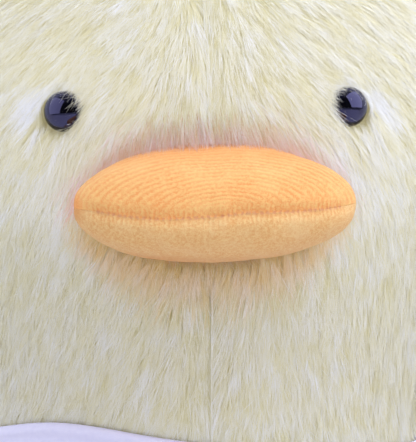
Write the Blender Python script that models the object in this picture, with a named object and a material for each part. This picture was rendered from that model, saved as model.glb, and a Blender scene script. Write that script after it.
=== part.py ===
"""A plush duck that sits upright: fur covers over stuffing, safety eyes and a stuffed bill.

Lengths are metres and +Z is up. The face looks along -Y, so the duck's own left is +X.
The origin is on the ground under the middle of the duck.
"""
from math import atan2, cos, exp, pi, radians, sin

import bmesh
import bpy
from mathutils import Matrix, Vector

MM = 0.001

# Clearances
SEAM_GAP = 0.3 * MM
OVERRUN = 30 * MM

# Torso, measured over the fur
HEAD_HALF_WIDTH = 110 * MM
HEAD_HALF_DEPTH = 98 * MM
HEAD_HALF_HEIGHT = 102 * MM
HEAD_LEVEL = 232 * MM
HEAD_BACK_SHIFT = -5 * MM
NECK_HALF_WIDTH = 88 * MM
NECK_HALF_DEPTH = 80 * MM
NECK_LEVEL = 122 * MM
BODY_HALF_WIDTH = 121 * MM
BODY_HALF_DEPTH = 110 * MM
BODY_LEVEL = 60 * MM
BODY_BACK_SHIFT = 1 * MM
BASE_GIRTH_SHARE = 0.8
CROWN_POWER = 2.2
GIRTH_POWER = 2.1
CUTTER_SIZE = 3 * (HEAD_LEVEL + HEAD_HALF_HEIGHT)

# Fur fabric
PILE_DEPTH = 8 * MM
BACKING = 1.2 * MM
BASE_PANEL_THICKNESS = 2 * MM

# Eyes
EYE_SPREAD = 51 * MM
EYE_LEVEL = 250 * MM
EYE_RADIUS = 7.5 * MM
EYE_HEIGHT = 7.4 * MM
EYE_RIM = 1.1 * MM
EYE_POCKET_FLARE = 2.6 * MM
EYE_POCKET_ROOM = 0.6 * MM
SHANK_RADIUS = 2.4 * MM
SHANK_LENGTH = 15 * MM
SHANK_RIB = 0.45 * MM
SHANK_RIB_COUNT = 5
RIB_CREST_SHARE = 0.7
WASHER_RADIUS = 8 * MM
WASHER_THICKNESS = 1.4 * MM
WASHER_HUB_RADIUS = 5 * MM
WASHER_HUB_HEIGHT = 1.6 * MM
WASHER_SLOT_DEPTH = 1.3 * MM
WASHER_PETALS = 6

# Bill
BILL_HALF_WIDTH = 50 * MM
BILL_REACH = 44 * MM
BILL_UPPER_RISE = 21.5 * MM
BILL_LOWER_DROP = 20.5 * MM
BILL_TIP_LEVEL = 211.5 * MM
BILL_DROOP_SHARE = 0.114
BILL_ROOT_WIDTH_SHARE = 0.88
BILL_WIDEST_SHARE = 0.4
BILL_PLAN_POWER = 2.1
BILL_SIDE_POWER = 2.3
BILL_SECTION_POWER = 2.15
BILL_ROOT_INSET = 18 * MM
VELOUR = 1.6 * MM

# Wings
WING_HINGE_LEVEL = 104 * MM
WING_LENGTH = 84 * MM
WING_HALF_WIDTH = 36 * MM
WING_SWELL = 19 * MM
WING_SHOULDER_SHARE = 0.78
WING_SHOULDER_SWELL_SHARE = 0.6
WING_WIDEST_SHARE = 0.42
WING_TIP_POWER = 1.8
WING_SECTION_POWER = 2.0
WING_PILE = 5 * MM
WING_LINING = 3 * MM

# Feet
FOOT_SPREAD = 44 * MM
FOOT_LENGTH = 58 * MM
FOOT_HEEL_INSET = 14 * MM
FOOT_HALF_WIDTH = 31 * MM
FOOT_THICKNESS = 19 * MM
FOOT_SOLE_FLAT = 0.5 * MM
FOOT_WEB_DEPTH = 3.2 * MM
FOOT_EDGE_POWER = 2.6

# Tail
TAIL_LEVEL = 62 * MM
TAIL_LENGTH = 46 * MM
TAIL_HALF_WIDTH = 33 * MM
TAIL_HALF_THICKNESS = 19 * MM
TAIL_ROOT_INSET = 26 * MM
TAIL_TILT = radians(32)
TAIL_TIP_POWER = 1.7
TAIL_PILE = 5 * MM

# Neckerchief
CLOTH_THICKNESS = 1.8 * MM
CLOTH_RISE = 6 * MM
CLOTH_DROP = 13 * MM
CLOTH_SLANT = 3 * MM
CLOTH_HUMP = 7 * MM
CLOTH_HUMP_PLACE = radians(234)
CLOTH_HUMP_SPREAD = radians(26)
CLOTH_POINT_DROP = 46 * MM
CLOTH_POINT_SPREAD = radians(58)
KNOT_RADIUS = 10 * MM
KNOT_FLATNESS_SHARE = 0.75
KNOT_TAIL_LENGTH = 34 * MM
KNOT_TAIL_HALF_WIDTH = 9 * MM
KNOT_TAIL_THICKNESS = 3 * MM
KNOT_TAIL_SPLAY = radians(24)

# Facets
TORSO_SIDES = 32
LIMB_SIDES = 16
FOOT_SIDES = 28
BILL_SIDES = 24
TURNED_SIDES = 16
CLOTH_SIDES = 36

# Finishes: base colour and roughness
FUR = ((0.83, 0.78, 0.56), 0.95)
SHORT_FUR = ((0.82, 0.77, 0.58), 0.95)
UPPER_VELOUR = ((0.93, 0.42, 0.12), 0.85)
LOWER_VELOUR = ((0.86, 0.46, 0.18), 0.85)
FIBREFILL = ((0.9, 0.9, 0.88), 1.0)
BLACK_PLASTIC = ((0.005, 0.005, 0.008), 0.08)
WHITE_PLASTIC = ((0.8, 0.8, 0.78), 0.4)
COTTON = ((0.82, 0.81, 0.9), 0.9)

SIDES = {"left": 1, "right": -1}


def paint(item, finish):
    colour, roughness = finish
    material = bpy.data.materials.new(item.name)
    material.use_nodes = True
    shader = material.node_tree.nodes["Principled BSDF"]
    shader.inputs["Base Color"].default_value = (*colour, 1)
    shader.inputs["Roughness"].default_value = roughness
    item.data.materials.append(material)


def add_object(name, shape, finish=None, parent=None, smooth_below=radians(50)):
    """Puts a bmesh into the scene; without a finish it is a cutter."""
    shape.normal_update()
    bmesh.ops.recalc_face_normals(shape, faces=shape.faces)
    bmesh.ops.triangulate(shape, faces=shape.faces)
    mesh = bpy.data.meshes.new(name)
    shape.to_mesh(mesh)
    shape.free()
    mesh.shade_smooth()
    mesh.set_sharp_from_angle(angle=smooth_below)
    item = bpy.data.objects.new(name, mesh)
    bpy.context.scene.collection.objects.link(item)
    item.parent = parent
    if finish:
        paint(item, finish)
    else:
        item.hide_render = True
        item.display_type = "WIRE"
    return item


def add_pivot(name, place):
    pivot = bpy.data.objects.new(name, None)
    pivot.matrix_world = place
    bpy.context.scene.collection.objects.link(pivot)
    return pivot


def cut(item, operation, *tools):
    for tool in tools:
        step = item.modifiers.new(f"{operation} {tool.name}", "BOOLEAN")
        step.operation = operation
        step.object = tool
    return item


def loft(rings, start_pole=None, end_pole=None):
    """A closed bmesh through rings of points, each end a pole or a flat face."""
    shape = bmesh.new()
    loops = [[shape.verts.new(point) for point in ring] for ring in rings]
    for near, far in zip(loops, loops[1:]):
        for k in range(len(near)):
            n = (k + 1) % len(near)
            shape.faces.new((near[k], near[n], far[n], far[k]))
    for loop, pole in ((loops[0], start_pole), (loops[-1], end_pole)):
        if pole is None:
            shape.faces.new(loop)
            continue
        tip = shape.verts.new(pole)
        for k in range(len(loop)):
            shape.faces.new((loop[k], loop[(k + 1) % len(loop)], tip))
    return shape


def turn(profile, sides):
    """Revolves (radius, height) points about Z; the first and the last lie on the axis."""
    angles = [2 * pi * k / sides for k in range(sides)]
    rings = [[Vector((r * cos(a), r * sin(a), z)) for a in angles] for r, z in profile[1:-1]]
    return loft(rings, Vector((0, 0, profile[0][1])), Vector((0, 0, profile[-1][1])))


def half_space(name, point, inward, parent=None):
    """A cutter cube that fills the side of a plane towards which inward points."""
    shape = bmesh.new()
    bmesh.ops.create_cube(shape, size=CUTTER_SIZE)
    turn_to = inward.to_track_quat("Z", "Y").to_matrix().to_4x4()
    centre = Matrix.Translation(point + inward.normalized() * CUTTER_SIZE / 2)
    shape.transform(centre @ turn_to)
    return add_object(name, shape, parent=parent)


def ease(t):
    t = min(max(t, 0), 1)
    return t * t * (3 - 2 * t)


def fullness(t, power):
    """Height of a unit superellipse at t from its middle."""
    t = min(max(t, 0), 1)
    return (1 - t ** power) ** (1 / power)


def round_power(value, power):
    """One coordinate of a superellipse, from the cosine or the sine of its angle."""
    return abs(value) ** (2 / power) * (1 if value >= 0 else -1)


def steps(low, high, count):
    return [low + (high - low) * k / count for k in range(count)]


# Torso form

def torso_section(z, grow):
    """Half-width, half-depth and middle y of the torso at a height, grown by a distance."""
    if z >= HEAD_LEVEL:
        full = fullness((z - HEAD_LEVEL) / (HEAD_HALF_HEIGHT + grow), CROWN_POWER)
        return (HEAD_HALF_WIDTH + grow) * full, (HEAD_HALF_DEPTH + grow) * full, HEAD_BACK_SHIFT
    if z >= NECK_LEVEL:
        t = ease((z - NECK_LEVEL) / (HEAD_LEVEL - NECK_LEVEL))
        wide = (HEAD_HALF_WIDTH, HEAD_HALF_DEPTH, HEAD_BACK_SHIFT)
    elif z >= BODY_LEVEL:
        t = ease((NECK_LEVEL - z) / (NECK_LEVEL - BODY_LEVEL))
        wide = (BODY_HALF_WIDTH, BODY_HALF_DEPTH, BODY_BACK_SHIFT)
    else:
        drop = BODY_LEVEL / fullness(BASE_GIRTH_SHARE, CROWN_POWER)
        full = fullness((BODY_LEVEL - max(z, 0)) / drop, CROWN_POWER)
        return (BODY_HALF_WIDTH + grow) * full, (BODY_HALF_DEPTH + grow) * full, BODY_BACK_SHIFT
    neck_shift = (HEAD_BACK_SHIFT + BODY_BACK_SHIFT) / 2
    width = NECK_HALF_WIDTH + (wide[0] - NECK_HALF_WIDTH) * t + grow
    depth = NECK_HALF_DEPTH + (wide[1] - NECK_HALF_DEPTH) * t + grow
    return width, depth, neck_shift + (wide[2] - neck_shift) * t


def torso_point(angle, z, grow):
    width, depth, shift = torso_section(z, grow)
    x = width * round_power(cos(angle), GIRTH_POWER)
    y = shift + depth * round_power(sin(angle), GIRTH_POWER)
    return Vector((x, y, z))


def torso_front(x, z, grow):
    """The torso's front surface at a place across and a height."""
    width, depth, shift = torso_section(z, grow)
    return Vector((x, shift - depth * fullness(abs(x) / width, GIRTH_POWER), z))


def torso_normal(x, z, grow):
    """Outward normal of the torso's front surface."""
    step = BACKING
    across = torso_front(x + step, z, grow) - torso_front(x - step, z, grow)
    up = torso_front(x, z + step, grow) - torso_front(x, z - step, grow)
    return across.cross(up).normalized()


def torso_levels(low, high):
    """Ring heights between two heights; without high they run up to the crown's last ring."""
    crown = [HEAD_LEVEL + HEAD_HALF_HEIGHT * sin(pi / 2 * k / 8) for k in range(8)]
    inner = steps(0, BODY_LEVEL, 4) + steps(BODY_LEVEL, NECK_LEVEL, 4)
    inner += steps(NECK_LEVEL, HEAD_LEVEL, 5) + crown
    clear = (crown[-1] - crown[-2]) / 2
    if high is None:
        return [low] + [z for z in inner if z > low + clear]
    return [low] + [z for z in inner if low + clear < z < high - clear] + [high]


def torso_form(name, low, high, grow, finish=None):
    """The torso's solid between two heights, grown outward or, below zero, shrunk."""
    angles = [2 * pi * k / TORSO_SIDES for k in range(TORSO_SIDES)]
    pole = None
    levels = torso_levels(low, high)
    if high is None:
        pole = Vector((0, HEAD_BACK_SHIFT, HEAD_LEVEL + HEAD_HALF_HEIGHT + grow))
        rise = (HEAD_HALF_HEIGHT + grow) / HEAD_HALF_HEIGHT
        levels = [z if z < HEAD_LEVEL else HEAD_LEVEL + (z - HEAD_LEVEL) * rise for z in levels]
    rings = [[torso_point(angle, z, grow) for angle in angles] for z in levels]
    return add_object(name, loft(rings, end_pole=pole), finish)


# Bill form

def bill_seat():
    """Middle of the bill's root, on the backing of the face."""
    rise = BILL_TIP_LEVEL + BILL_DROOP_SHARE * BILL_REACH
    return torso_front(0, rise, BACKING - PILE_DEPTH)


def bill_rim(y):
    """Height of the seam between the bill's panels, which droops towards the tip."""
    tip = bill_seat().y - BILL_REACH
    return BILL_TIP_LEVEL + BILL_DROOP_SHARE * (y - tip)


def bill_section(y, grow):
    """Half-width, rise and drop of the bill at a place along it."""
    reach = bill_seat().y - y
    if reach < BILL_REACH * BILL_WIDEST_SHARE:
        swell = ease(reach / (BILL_REACH * BILL_WIDEST_SHARE))
        plan = BILL_ROOT_WIDTH_SHARE + (1 - BILL_ROOT_WIDTH_SHARE) * swell
    else:
        past = reach - BILL_REACH * BILL_WIDEST_SHARE
        plan = fullness(past / (BILL_REACH * (1 - BILL_WIDEST_SHARE) + grow), BILL_PLAN_POWER)
    side = fullness(reach / (BILL_REACH + grow), BILL_SIDE_POWER)
    return (BILL_HALF_WIDTH + grow) * plan, (BILL_UPPER_RISE + grow) * side, (BILL_LOWER_DROP + grow) * side


def bill_form(name, grow, finish=None):
    """The whole bill, closed at a tip on the rim and run back into the head."""
    seat = bill_seat().y
    reach = BILL_REACH + grow
    places = [seat + BILL_ROOT_INSET] + [seat - reach * sin(pi / 2 * k / 8) for k in range(8)]
    rings = []
    for y in places:
        half_width, rise, drop = bill_section(y, grow)
        ring = []
        for k in range(BILL_SIDES):
            angle = 2 * pi * k / BILL_SIDES
            lift = rise if sin(angle) >= 0 else drop
            x = half_width * round_power(cos(angle), BILL_SECTION_POWER)
            ring.append(Vector((x, y, bill_rim(y) + lift * round_power(sin(angle), BILL_SECTION_POWER))))
        rings.append(ring)
    tip = seat - reach
    return add_object(name, loft(rings, end_pole=Vector((0, tip, bill_rim(tip)))), finish)


# Cutters that several pieces share

def eye_place(side):
    """Frame of an eye: origin on the backing, Z along the outward normal."""
    grow = BACKING - PILE_DEPTH
    x = side * EYE_SPREAD
    outward = torso_normal(x, EYE_LEVEL, grow)
    turn_to = outward.to_track_quat("Z", "Y").to_matrix().to_4x4()
    return Matrix.Translation(torso_front(x, EYE_LEVEL, grow)) @ turn_to


def eye_pocket(name, side):
    """The parting of the pile round an eye, its shank's hole and the flat that the washer pinches."""
    hole = SHANK_RADIUS + SHANK_RIB + SEAM_GAP
    pinch = WASHER_RADIUS + SEAM_GAP
    floor = EYE_RADIUS + EYE_POCKET_ROOM
    profile = [
        (0, -SHANK_LENGTH),
        (pinch, -SHANK_LENGTH),
        (pinch, -BACKING),
        (hole, -BACKING),
        (hole, 0),
        (floor, 0),
        (floor + EYE_POCKET_FLARE, PILE_DEPTH),
        (floor + EYE_POCKET_FLARE, PILE_DEPTH * 2),
        (0, PILE_DEPTH * 2),
    ]
    shape = turn(profile, TURNED_SIDES)
    shape.transform(eye_place(side))
    return add_object(name, shape)


def washer_pocket(name, side):
    """Room in the stuffing for the washer and the end of the shank."""
    wide = WASHER_RADIUS + SEAM_GAP
    narrow = WASHER_HUB_RADIUS + SEAM_GAP
    back = -BACKING - WASHER_THICKNESS - SEAM_GAP * 2
    end = -SHANK_LENGTH - SEAM_GAP
    profile = [(0, PILE_DEPTH), (wide, PILE_DEPTH), (wide, back), (narrow, back), (narrow, end), (0, end)]
    shape = turn(profile, TURNED_SIDES)
    shape.transform(eye_place(side))
    return add_object(name, shape)


# Pieces of the head and body

def build_torso():
    head_hollow = torso_form("cutter_head_hollow", NECK_LEVEL - OVERRUN, None, -PILE_DEPTH)
    body_hollow = torso_form("cutter_body_hollow", -OVERRUN, NECK_LEVEL + OVERRUN, -PILE_DEPTH)
    bill_pocket = bill_form("cutter_bill_pocket", SEAM_GAP)
    face_backing = torso_form("cutter_face_backing", NECK_LEVEL, None, BACKING - PILE_DEPTH)
    cut(bill_pocket, "DIFFERENCE", face_backing)
    for word, side in SIDES.items():
        across = Vector((side, 0, 0))
        half = half_space(f"cutter_{word}_half", across * SEAM_GAP / 2, across)
        head = torso_form(f"head_{word}_panel", NECK_LEVEL + SEAM_GAP / 2, None, 0, FUR)
        cut(head, "DIFFERENCE", head_hollow)
        cut(head, "INTERSECT", half)
        cut(head, "DIFFERENCE", eye_pocket(f"cutter_{word}_eye_pocket", side), bill_pocket)
        body = torso_form(f"body_{word}_panel", 0, NECK_LEVEL - SEAM_GAP / 2, 0, FUR)
        cut(body, "DIFFERENCE", body_hollow)
        cut(body, "INTERSECT", half)
    inside = -PILE_DEPTH - SEAM_GAP
    head_stuffing = torso_form("head_stuffing", NECK_LEVEL + SEAM_GAP / 2, None, inside, FIBREFILL)
    for word, side in SIDES.items():
        cut(head_stuffing, "DIFFERENCE", washer_pocket(f"cutter_{word}_washer_pocket", side))
    floor = Vector((0, 0, BASE_PANEL_THICKNESS))
    up = Vector((0, 0, 1))
    body_stuffing = torso_form("body_stuffing", 0, NECK_LEVEL - SEAM_GAP / 2, inside, FIBREFILL)
    cut(body_stuffing, "INTERSECT", half_space("cutter_above_base_panel", floor + up * SEAM_GAP, up))
    base_panel = torso_form("body_base_panel", 0, NECK_LEVEL, inside, SHORT_FUR)
    cut(base_panel, "INTERSECT", half_space("cutter_base_panel", floor, -up))


def build_eye(word, side):
    """A safety eye: domed face, rim, and a shank whose ribs hold the washer."""
    dome = [(0, EYE_HEIGHT)]
    for k in range(1, 7):
        angle = pi / 2 * k / 6
        dome.append((EYE_RADIUS * sin(angle), EYE_RIM + (EYE_HEIGHT - EYE_RIM) * cos(angle)))
    underside = SEAM_GAP
    profile = dome + [(EYE_RADIUS, underside + EYE_RIM / 3), (EYE_RADIUS - EYE_RIM / 3, underside)]
    profile.append((SHANK_RADIUS, underside))
    start = BACKING + WASHER_THICKNESS + WASHER_HUB_HEIGHT + SEAM_GAP * 2
    pitch = (SHANK_LENGTH - start) / (SHANK_RIB_COUNT + 1)
    for k in range(SHANK_RIB_COUNT):
        top = -start - pitch * k
        profile += [(SHANK_RADIUS, top), (SHANK_RADIUS + SHANK_RIB, top - pitch * RIB_CREST_SHARE)]
    profile += [(SHANK_RADIUS, SHANK_RIB - SHANK_LENGTH), (SHANK_RADIUS - SHANK_RIB, -SHANK_LENGTH)]
    profile.append((0, -SHANK_LENGTH))
    shape = turn(profile, TURNED_SIDES)
    shape.transform(eye_place(side))
    add_object(f"{word}_eye", shape, BLACK_PLASTIC)


def build_washer(word, side):
    """The locking washer: a flat ring round a raised hub, slotted into petals that grip the shank."""
    grip = SHANK_RADIUS + SEAM_GAP
    slotted = grip + WASHER_SLOT_DEPTH
    count = WASHER_PETALS * 6
    face = -BACKING - SEAM_GAP
    back = face - WASHER_THICKNESS
    rings = [[] for _ in range(6)]
    for k in range(count):
        angle = 2 * pi * k / count
        bore = slotted if k % 6 == 0 else grip
        ring = [(bore, face), (WASHER_RADIUS, face), (WASHER_RADIUS, back), (WASHER_HUB_RADIUS, back)]
        ring += [(slotted + (WASHER_HUB_RADIUS - slotted) / 3, back - WASHER_HUB_HEIGHT)]
        ring += [(bore, back - WASHER_HUB_HEIGHT)]
        for place, (radius, z) in zip(rings, ring):
            place.append(Vector((radius * cos(angle), radius * sin(angle), z)))
    shape = bmesh.new()
    loops = [[shape.verts.new(point) for point in ring] for ring in rings]
    for near, far in zip(loops, loops[1:] + loops[:1]):
        for k in range(count):
            n = (k + 1) % count
            shape.faces.new((near[k], near[n], far[n], far[k]))
    shape.transform(eye_place(side))
    add_object(f"{word}_eye_washer", shape, WHITE_PLASTIC)


def build_bill():
    """Two velour panels that meet in a seam at the rim, over stuffing, rooted on the face's backing."""
    seat = torso_form("cutter_bill_seat", NECK_LEVEL, None, BACKING + SEAM_GAP - PILE_DEPTH)
    hollow = bill_form("cutter_bill_hollow", -VELOUR)
    rim = Vector((0, 0, bill_rim(0)))
    up = Vector((0, -BILL_DROOP_SHARE, 1)).normalized()
    above = half_space("cutter_above_bill_rim", rim + up * SEAM_GAP / 2, up)
    below = half_space("cutter_below_bill_rim", rim - up * SEAM_GAP / 2, -up)
    upper = bill_form("bill_upper_panel", 0, UPPER_VELOUR)
    lower = bill_form("bill_lower_panel", 0, LOWER_VELOUR)
    for panel, half in ((upper, above), (lower, below)):
        cut(panel, "DIFFERENCE", hollow)
        cut(panel, "INTERSECT", half)
        cut(panel, "DIFFERENCE", seat)
    stuffing = bill_form("bill_stuffing", -VELOUR - SEAM_GAP, FIBREFILL)
    cut(stuffing, "DIFFERENCE", seat)


def build_tail():
    """A short fur tail that points back and up, open where it is sewn to the body."""
    root = torso_point(pi / 2, TAIL_LEVEL, 0)
    along = Vector((0, cos(TAIL_TILT), sin(TAIL_TILT)))
    over = Vector((0, -sin(TAIL_TILT), cos(TAIL_TILT)))

    def form(name, grow, finish=None):
        reach = TAIL_LENGTH + grow
        places = [-TAIL_ROOT_INSET] + [reach * sin(pi / 2 * k / 6) for k in range(6)]
        rings = []
        for place in places:
            full = fullness(place / reach, TAIL_TIP_POWER)
            ring = []
            for k in range(LIMB_SIDES):
                angle = 2 * pi * k / LIMB_SIDES
                x = (TAIL_HALF_WIDTH + grow) * full * cos(angle)
                lift = (TAIL_HALF_THICKNESS + grow) * full * sin(angle)
                ring.append(root + along * place + over * lift + Vector((x, 0, 0)))
            rings.append(ring)
        return add_object(name, loft(rings, end_pole=root + along * reach), finish)

    seat = torso_form("cutter_tail_seat", 0, NECK_LEVEL, SEAM_GAP)
    cover = form("tail_cover", 0, FUR)
    cut(cover, "DIFFERENCE", form("cutter_tail_hollow", -TAIL_PILE), seat)
    cut(form("tail_stuffing", -TAIL_PILE - SEAM_GAP, FIBREFILL), "DIFFERENCE", seat)


def build_wing(word, side):
    """A stuffed wing shaped to the body's side, sewn along the shoulder, where it hinges."""
    shoulder = Vector((side * (torso_section(WING_HINGE_LEVEL, 0)[0] + SEAM_GAP), 0, WING_HINGE_LEVEL))
    shoulder.y = torso_section(WING_HINGE_LEVEL, 0)[2]
    pivot = add_pivot(f"{word}_wing_pivot", Matrix.Translation(shoulder))
    lean = atan2(BODY_HALF_WIDTH - abs(shoulder.x), WING_HINGE_LEVEL - BODY_LEVEL)
    along = Vector((side * sin(lean), 0, -cos(lean)))
    outward = Vector((side * cos(lean), 0, sin(lean)))

    def form(name, grow, finish=None):
        reach = WING_LENGTH + grow
        places = [-WING_SWELL * 2, -WING_SWELL / 4] + [reach * sin(pi / 2 * k / 8) for k in range(1, 8)]
        rings = []
        for place in places:
            if place < reach * WING_WIDEST_SHARE:
                swell = ease(place / (reach * WING_WIDEST_SHARE))
                plan = WING_SHOULDER_SHARE + (1 - WING_SHOULDER_SHARE) * swell
            else:
                past = place - reach * WING_WIDEST_SHARE
                plan = fullness(past / (reach * (1 - WING_WIDEST_SHARE)), WING_TIP_POWER)
            thin = 1 - WING_SHOULDER_SWELL_SHARE
            full = fullness(place / reach, CROWN_POWER) - thin * (1 - ease(place / (reach * WING_WIDEST_SHARE)))
            ring = []
            for k in range(LIMB_SIDES):
                angle = 2 * pi * k / LIMB_SIDES
                y = (WING_HALF_WIDTH + grow) * plan * round_power(cos(angle), WING_SECTION_POWER)
                lift = (WING_SWELL + grow) * full * round_power(sin(angle), WING_SECTION_POWER)
                ring.append(along * place + outward * lift + Vector((0, y, 0)))
            rings.append(ring)
        return add_object(name, loft(rings, end_pole=along * reach), finish, pivot)

    def trim(piece, inset, below_shoulder):
        seat = torso_form(f"cutter_seat_{piece.name}", 0, NECK_LEVEL + OVERRUN, SEAM_GAP + inset)
        past = Vector((side, 0, 0))
        cut(piece, "INTERSECT", half_space(f"cutter_beside_{piece.name}", past * inset, past, pivot))
        if below_shoulder:
            down = Vector((0, 0, -1))
            cut(piece, "INTERSECT", half_space(f"cutter_under_{piece.name}", Vector(), down, pivot))
        return cut(piece, "DIFFERENCE", seat)

    hollow = trim(form(f"cutter_{word}_wing_hollow", -WING_PILE), WING_LINING, False)
    cover = trim(form(f"{word}_wing_cover", 0, FUR), 0, True)
    cut(cover, "DIFFERENCE", hollow)
    trim(form(f"{word}_wing_stuffing", -WING_PILE - SEAM_GAP, FIBREFILL), WING_LINING + SEAM_GAP, True)


def build_foot(word, side):
    """A webbed foot with three toes, flat underneath, sewn to the body along the top of its heel."""
    hinge = torso_front(side * FOOT_SPREAD, FOOT_THICKNESS, SEAM_GAP)
    outward = torso_normal(side * FOOT_SPREAD, FOOT_THICKNESS, SEAM_GAP)
    splay = atan2(outward.x, -outward.y)
    place = Matrix.Translation(hinge) @ Matrix.Rotation(splay, 4, "Z")
    pivot = add_pivot(f"{word}_foot_pivot", place)
    half_length = (FOOT_LENGTH + FOOT_HEEL_INSET) / 2
    half_thickness = (FOOT_THICKNESS + FOOT_SOLE_FLAT) / 2
    middle = Vector((0, -(FOOT_LENGTH - half_length), half_thickness - FOOT_SOLE_FLAT - FOOT_THICKNESS))

    def form(name, grow, finish=None):
        tilts = [-pi / 2 + pi * k / 7 for k in range(1, 7)]
        rings = []
        for tilt in tilts:
            spread = round_power(cos(tilt), FOOT_EDGE_POWER)
            lift = (half_thickness + grow) * round_power(sin(tilt), FOOT_EDGE_POWER)
            ring = []
            for k in range(FOOT_SIDES):
                angle = 2 * pi * k / FOOT_SIDES
                front = ease(-sin(angle) * 2 - 0.4)
                lobe = FOOT_WEB_DEPTH * front * cos(6 * (angle - 1.5 * pi))
                x = (FOOT_HALF_WIDTH + grow + lobe) * cos(angle) * spread
                y = (half_length + grow + lobe) * sin(angle) * spread
                ring.append(middle + Vector((x, y, lift)))
            rings.append(ring)
        depth = Vector((0, 0, half_thickness + grow))
        return add_object(name, loft(rings, middle - depth, middle + depth), finish, pivot)

    tangent = Matrix.Rotation(-splay, 3, "Z") @ outward
    ahead = half_space(f"cutter_{word}_heel", Vector(), tangent, pivot)
    ground = Vector((0, 0, -FOOT_THICKNESS))
    over = half_space(f"cutter_{word}_ground", ground, Vector((0, 0, 1)), pivot)
    seam = middle.z * Vector((0, 0, 1))
    hollow = form(f"cutter_{word}_foot_hollow", -VELOUR)
    seat = torso_form(f"cutter_{word}_foot_seat", 0, NECK_LEVEL, SEAM_GAP)
    for name, facing in ((f"{word}_foot_upper", 1), (f"{word}_foot_sole", -1)):
        panel = form(name, 0, UPPER_VELOUR)
        up = Vector((0, 0, facing))
        side_of_seam = half_space(f"cutter_{name}", seam + up * SEAM_GAP / 2, up, pivot)
        cut(panel, "DIFFERENCE", hollow)
        cut(panel, "INTERSECT", side_of_seam, ahead, over)
        cut(panel, "DIFFERENCE", seat)
    stuffing = form(f"{word}_foot_stuffing", -VELOUR - SEAM_GAP, FIBREFILL)
    cut(stuffing, "INTERSECT", ahead)
    cut(stuffing, "DIFFERENCE", seat)


def cloth_edges(angle):
    """Lower and upper edge of the neckerchief at an angle about Z; the front is at 270 degrees."""
    off_hump = (angle - CLOTH_HUMP_PLACE) / CLOTH_HUMP_SPREAD
    rise = CLOTH_RISE - CLOTH_SLANT * cos(angle) + CLOTH_HUMP * exp(-off_hump ** 2)
    off_front = min(abs(angle - 1.5 * pi), abs(angle + pi / 2)) / CLOTH_POINT_SPREAD
    point = CLOTH_POINT_DROP * max(0, 1 - off_front)
    return NECK_LEVEL - CLOTH_DROP - point, NECK_LEVEL + rise


def build_neckerchief():
    """A folded triangle of cotton round the neck, its point on the chest, worn a little askew."""
    rows = 3
    rings = []
    for k in range(CLOTH_SIDES):
        angle = 2 * pi * k / CLOTH_SIDES
        low, high = cloth_edges(angle)
        heights = [low + (high - low) * row / rows for row in range(rows + 1)]
        inner = [torso_point(angle, z, -CLOTH_THICKNESS) for z in heights]
        outer = [torso_point(angle, z, SEAM_GAP + CLOTH_THICKNESS) for z in reversed(heights)]
        rings.append(inner + outer)
    shape = bmesh.new()
    loops = [[shape.verts.new(point) for point in ring] for ring in rings]
    for near, far in zip(loops, loops[1:] + loops[:1]):
        for k in range(len(near)):
            n = (k + 1) % len(near)
            shape.faces.new((near[k], near[n], far[n], far[k]))
    cloth = add_object("neckerchief", shape, COTTON)
    cut(cloth, "DIFFERENCE", torso_form("cutter_cloth_seat", 0, None, SEAM_GAP))


def build_knot():
    """The knot behind the neck, a flattened ball with two short ends that hang from it."""
    outside = SEAM_GAP * 2 + CLOTH_THICKNESS
    middle = torso_point(pi / 2, NECK_LEVEL, outside + KNOT_RADIUS * KNOT_FLATNESS_SHARE)
    shape = bmesh.new()
    bmesh.ops.create_uvsphere(shape, u_segments=16, v_segments=10, radius=KNOT_RADIUS)
    flat = Vector((1, KNOT_FLATNESS_SHARE, KNOT_FLATNESS_SHARE))
    bmesh.ops.scale(shape, vec=flat, verts=shape.verts)
    bmesh.ops.translate(shape, vec=middle, verts=shape.verts)
    knot = add_object("neckerchief_knot", shape, COTTON)
    for word, side in SIDES.items():
        end = bmesh.new()
        bmesh.ops.create_cube(end, size=1)
        size = Vector((KNOT_TAIL_HALF_WIDTH * 2, KNOT_TAIL_THICKNESS, KNOT_TAIL_LENGTH))
        bmesh.ops.scale(end, vec=size, verts=end.verts)
        bmesh.ops.translate(end, vec=Vector((0, 0, -KNOT_TAIL_LENGTH / 2)), verts=end.verts)
        narrow = [v for v in end.verts if v.co.z > -KNOT_TAIL_LENGTH / 2]
        bmesh.ops.scale(end, vec=Vector((KNOT_TAIL_THICKNESS / KNOT_TAIL_HALF_WIDTH, 1, 1)), verts=narrow)
        end.transform(Matrix.Translation(middle) @ Matrix.Rotation(-side * KNOT_TAIL_SPLAY, 4, "Y"))
        cut(knot, "UNION", add_object(f"cutter_knot_end_{word}", end))
    cloth_outside = torso_form("cutter_knot_seat", BODY_LEVEL, HEAD_LEVEL, outside)
    cut(knot, "DIFFERENCE", cloth_outside)


for old in list(bpy.data.objects):
    bpy.data.objects.remove(old)

build_torso()
build_bill()
build_tail()
for side_word, side_sign in SIDES.items():
    build_eye(side_word, side_sign)
    build_washer(side_word, side_sign)
    build_wing(side_word, side_sign)
    build_foot(side_word, side_sign)
build_neckerchief()
build_knot()
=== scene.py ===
"""The looks of a plush duck: long fur, a velour bill and feet, domed eyes and a cotton neckerchief.

Lengths are metres, +Z is up, and the face looks along -Y, so the duck's own left is +X.
"""
from math import atan2, cos, exp, pi, radians, sin

import bpy
import numpy as np
from mathutils import Matrix, Vector, noise


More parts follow.
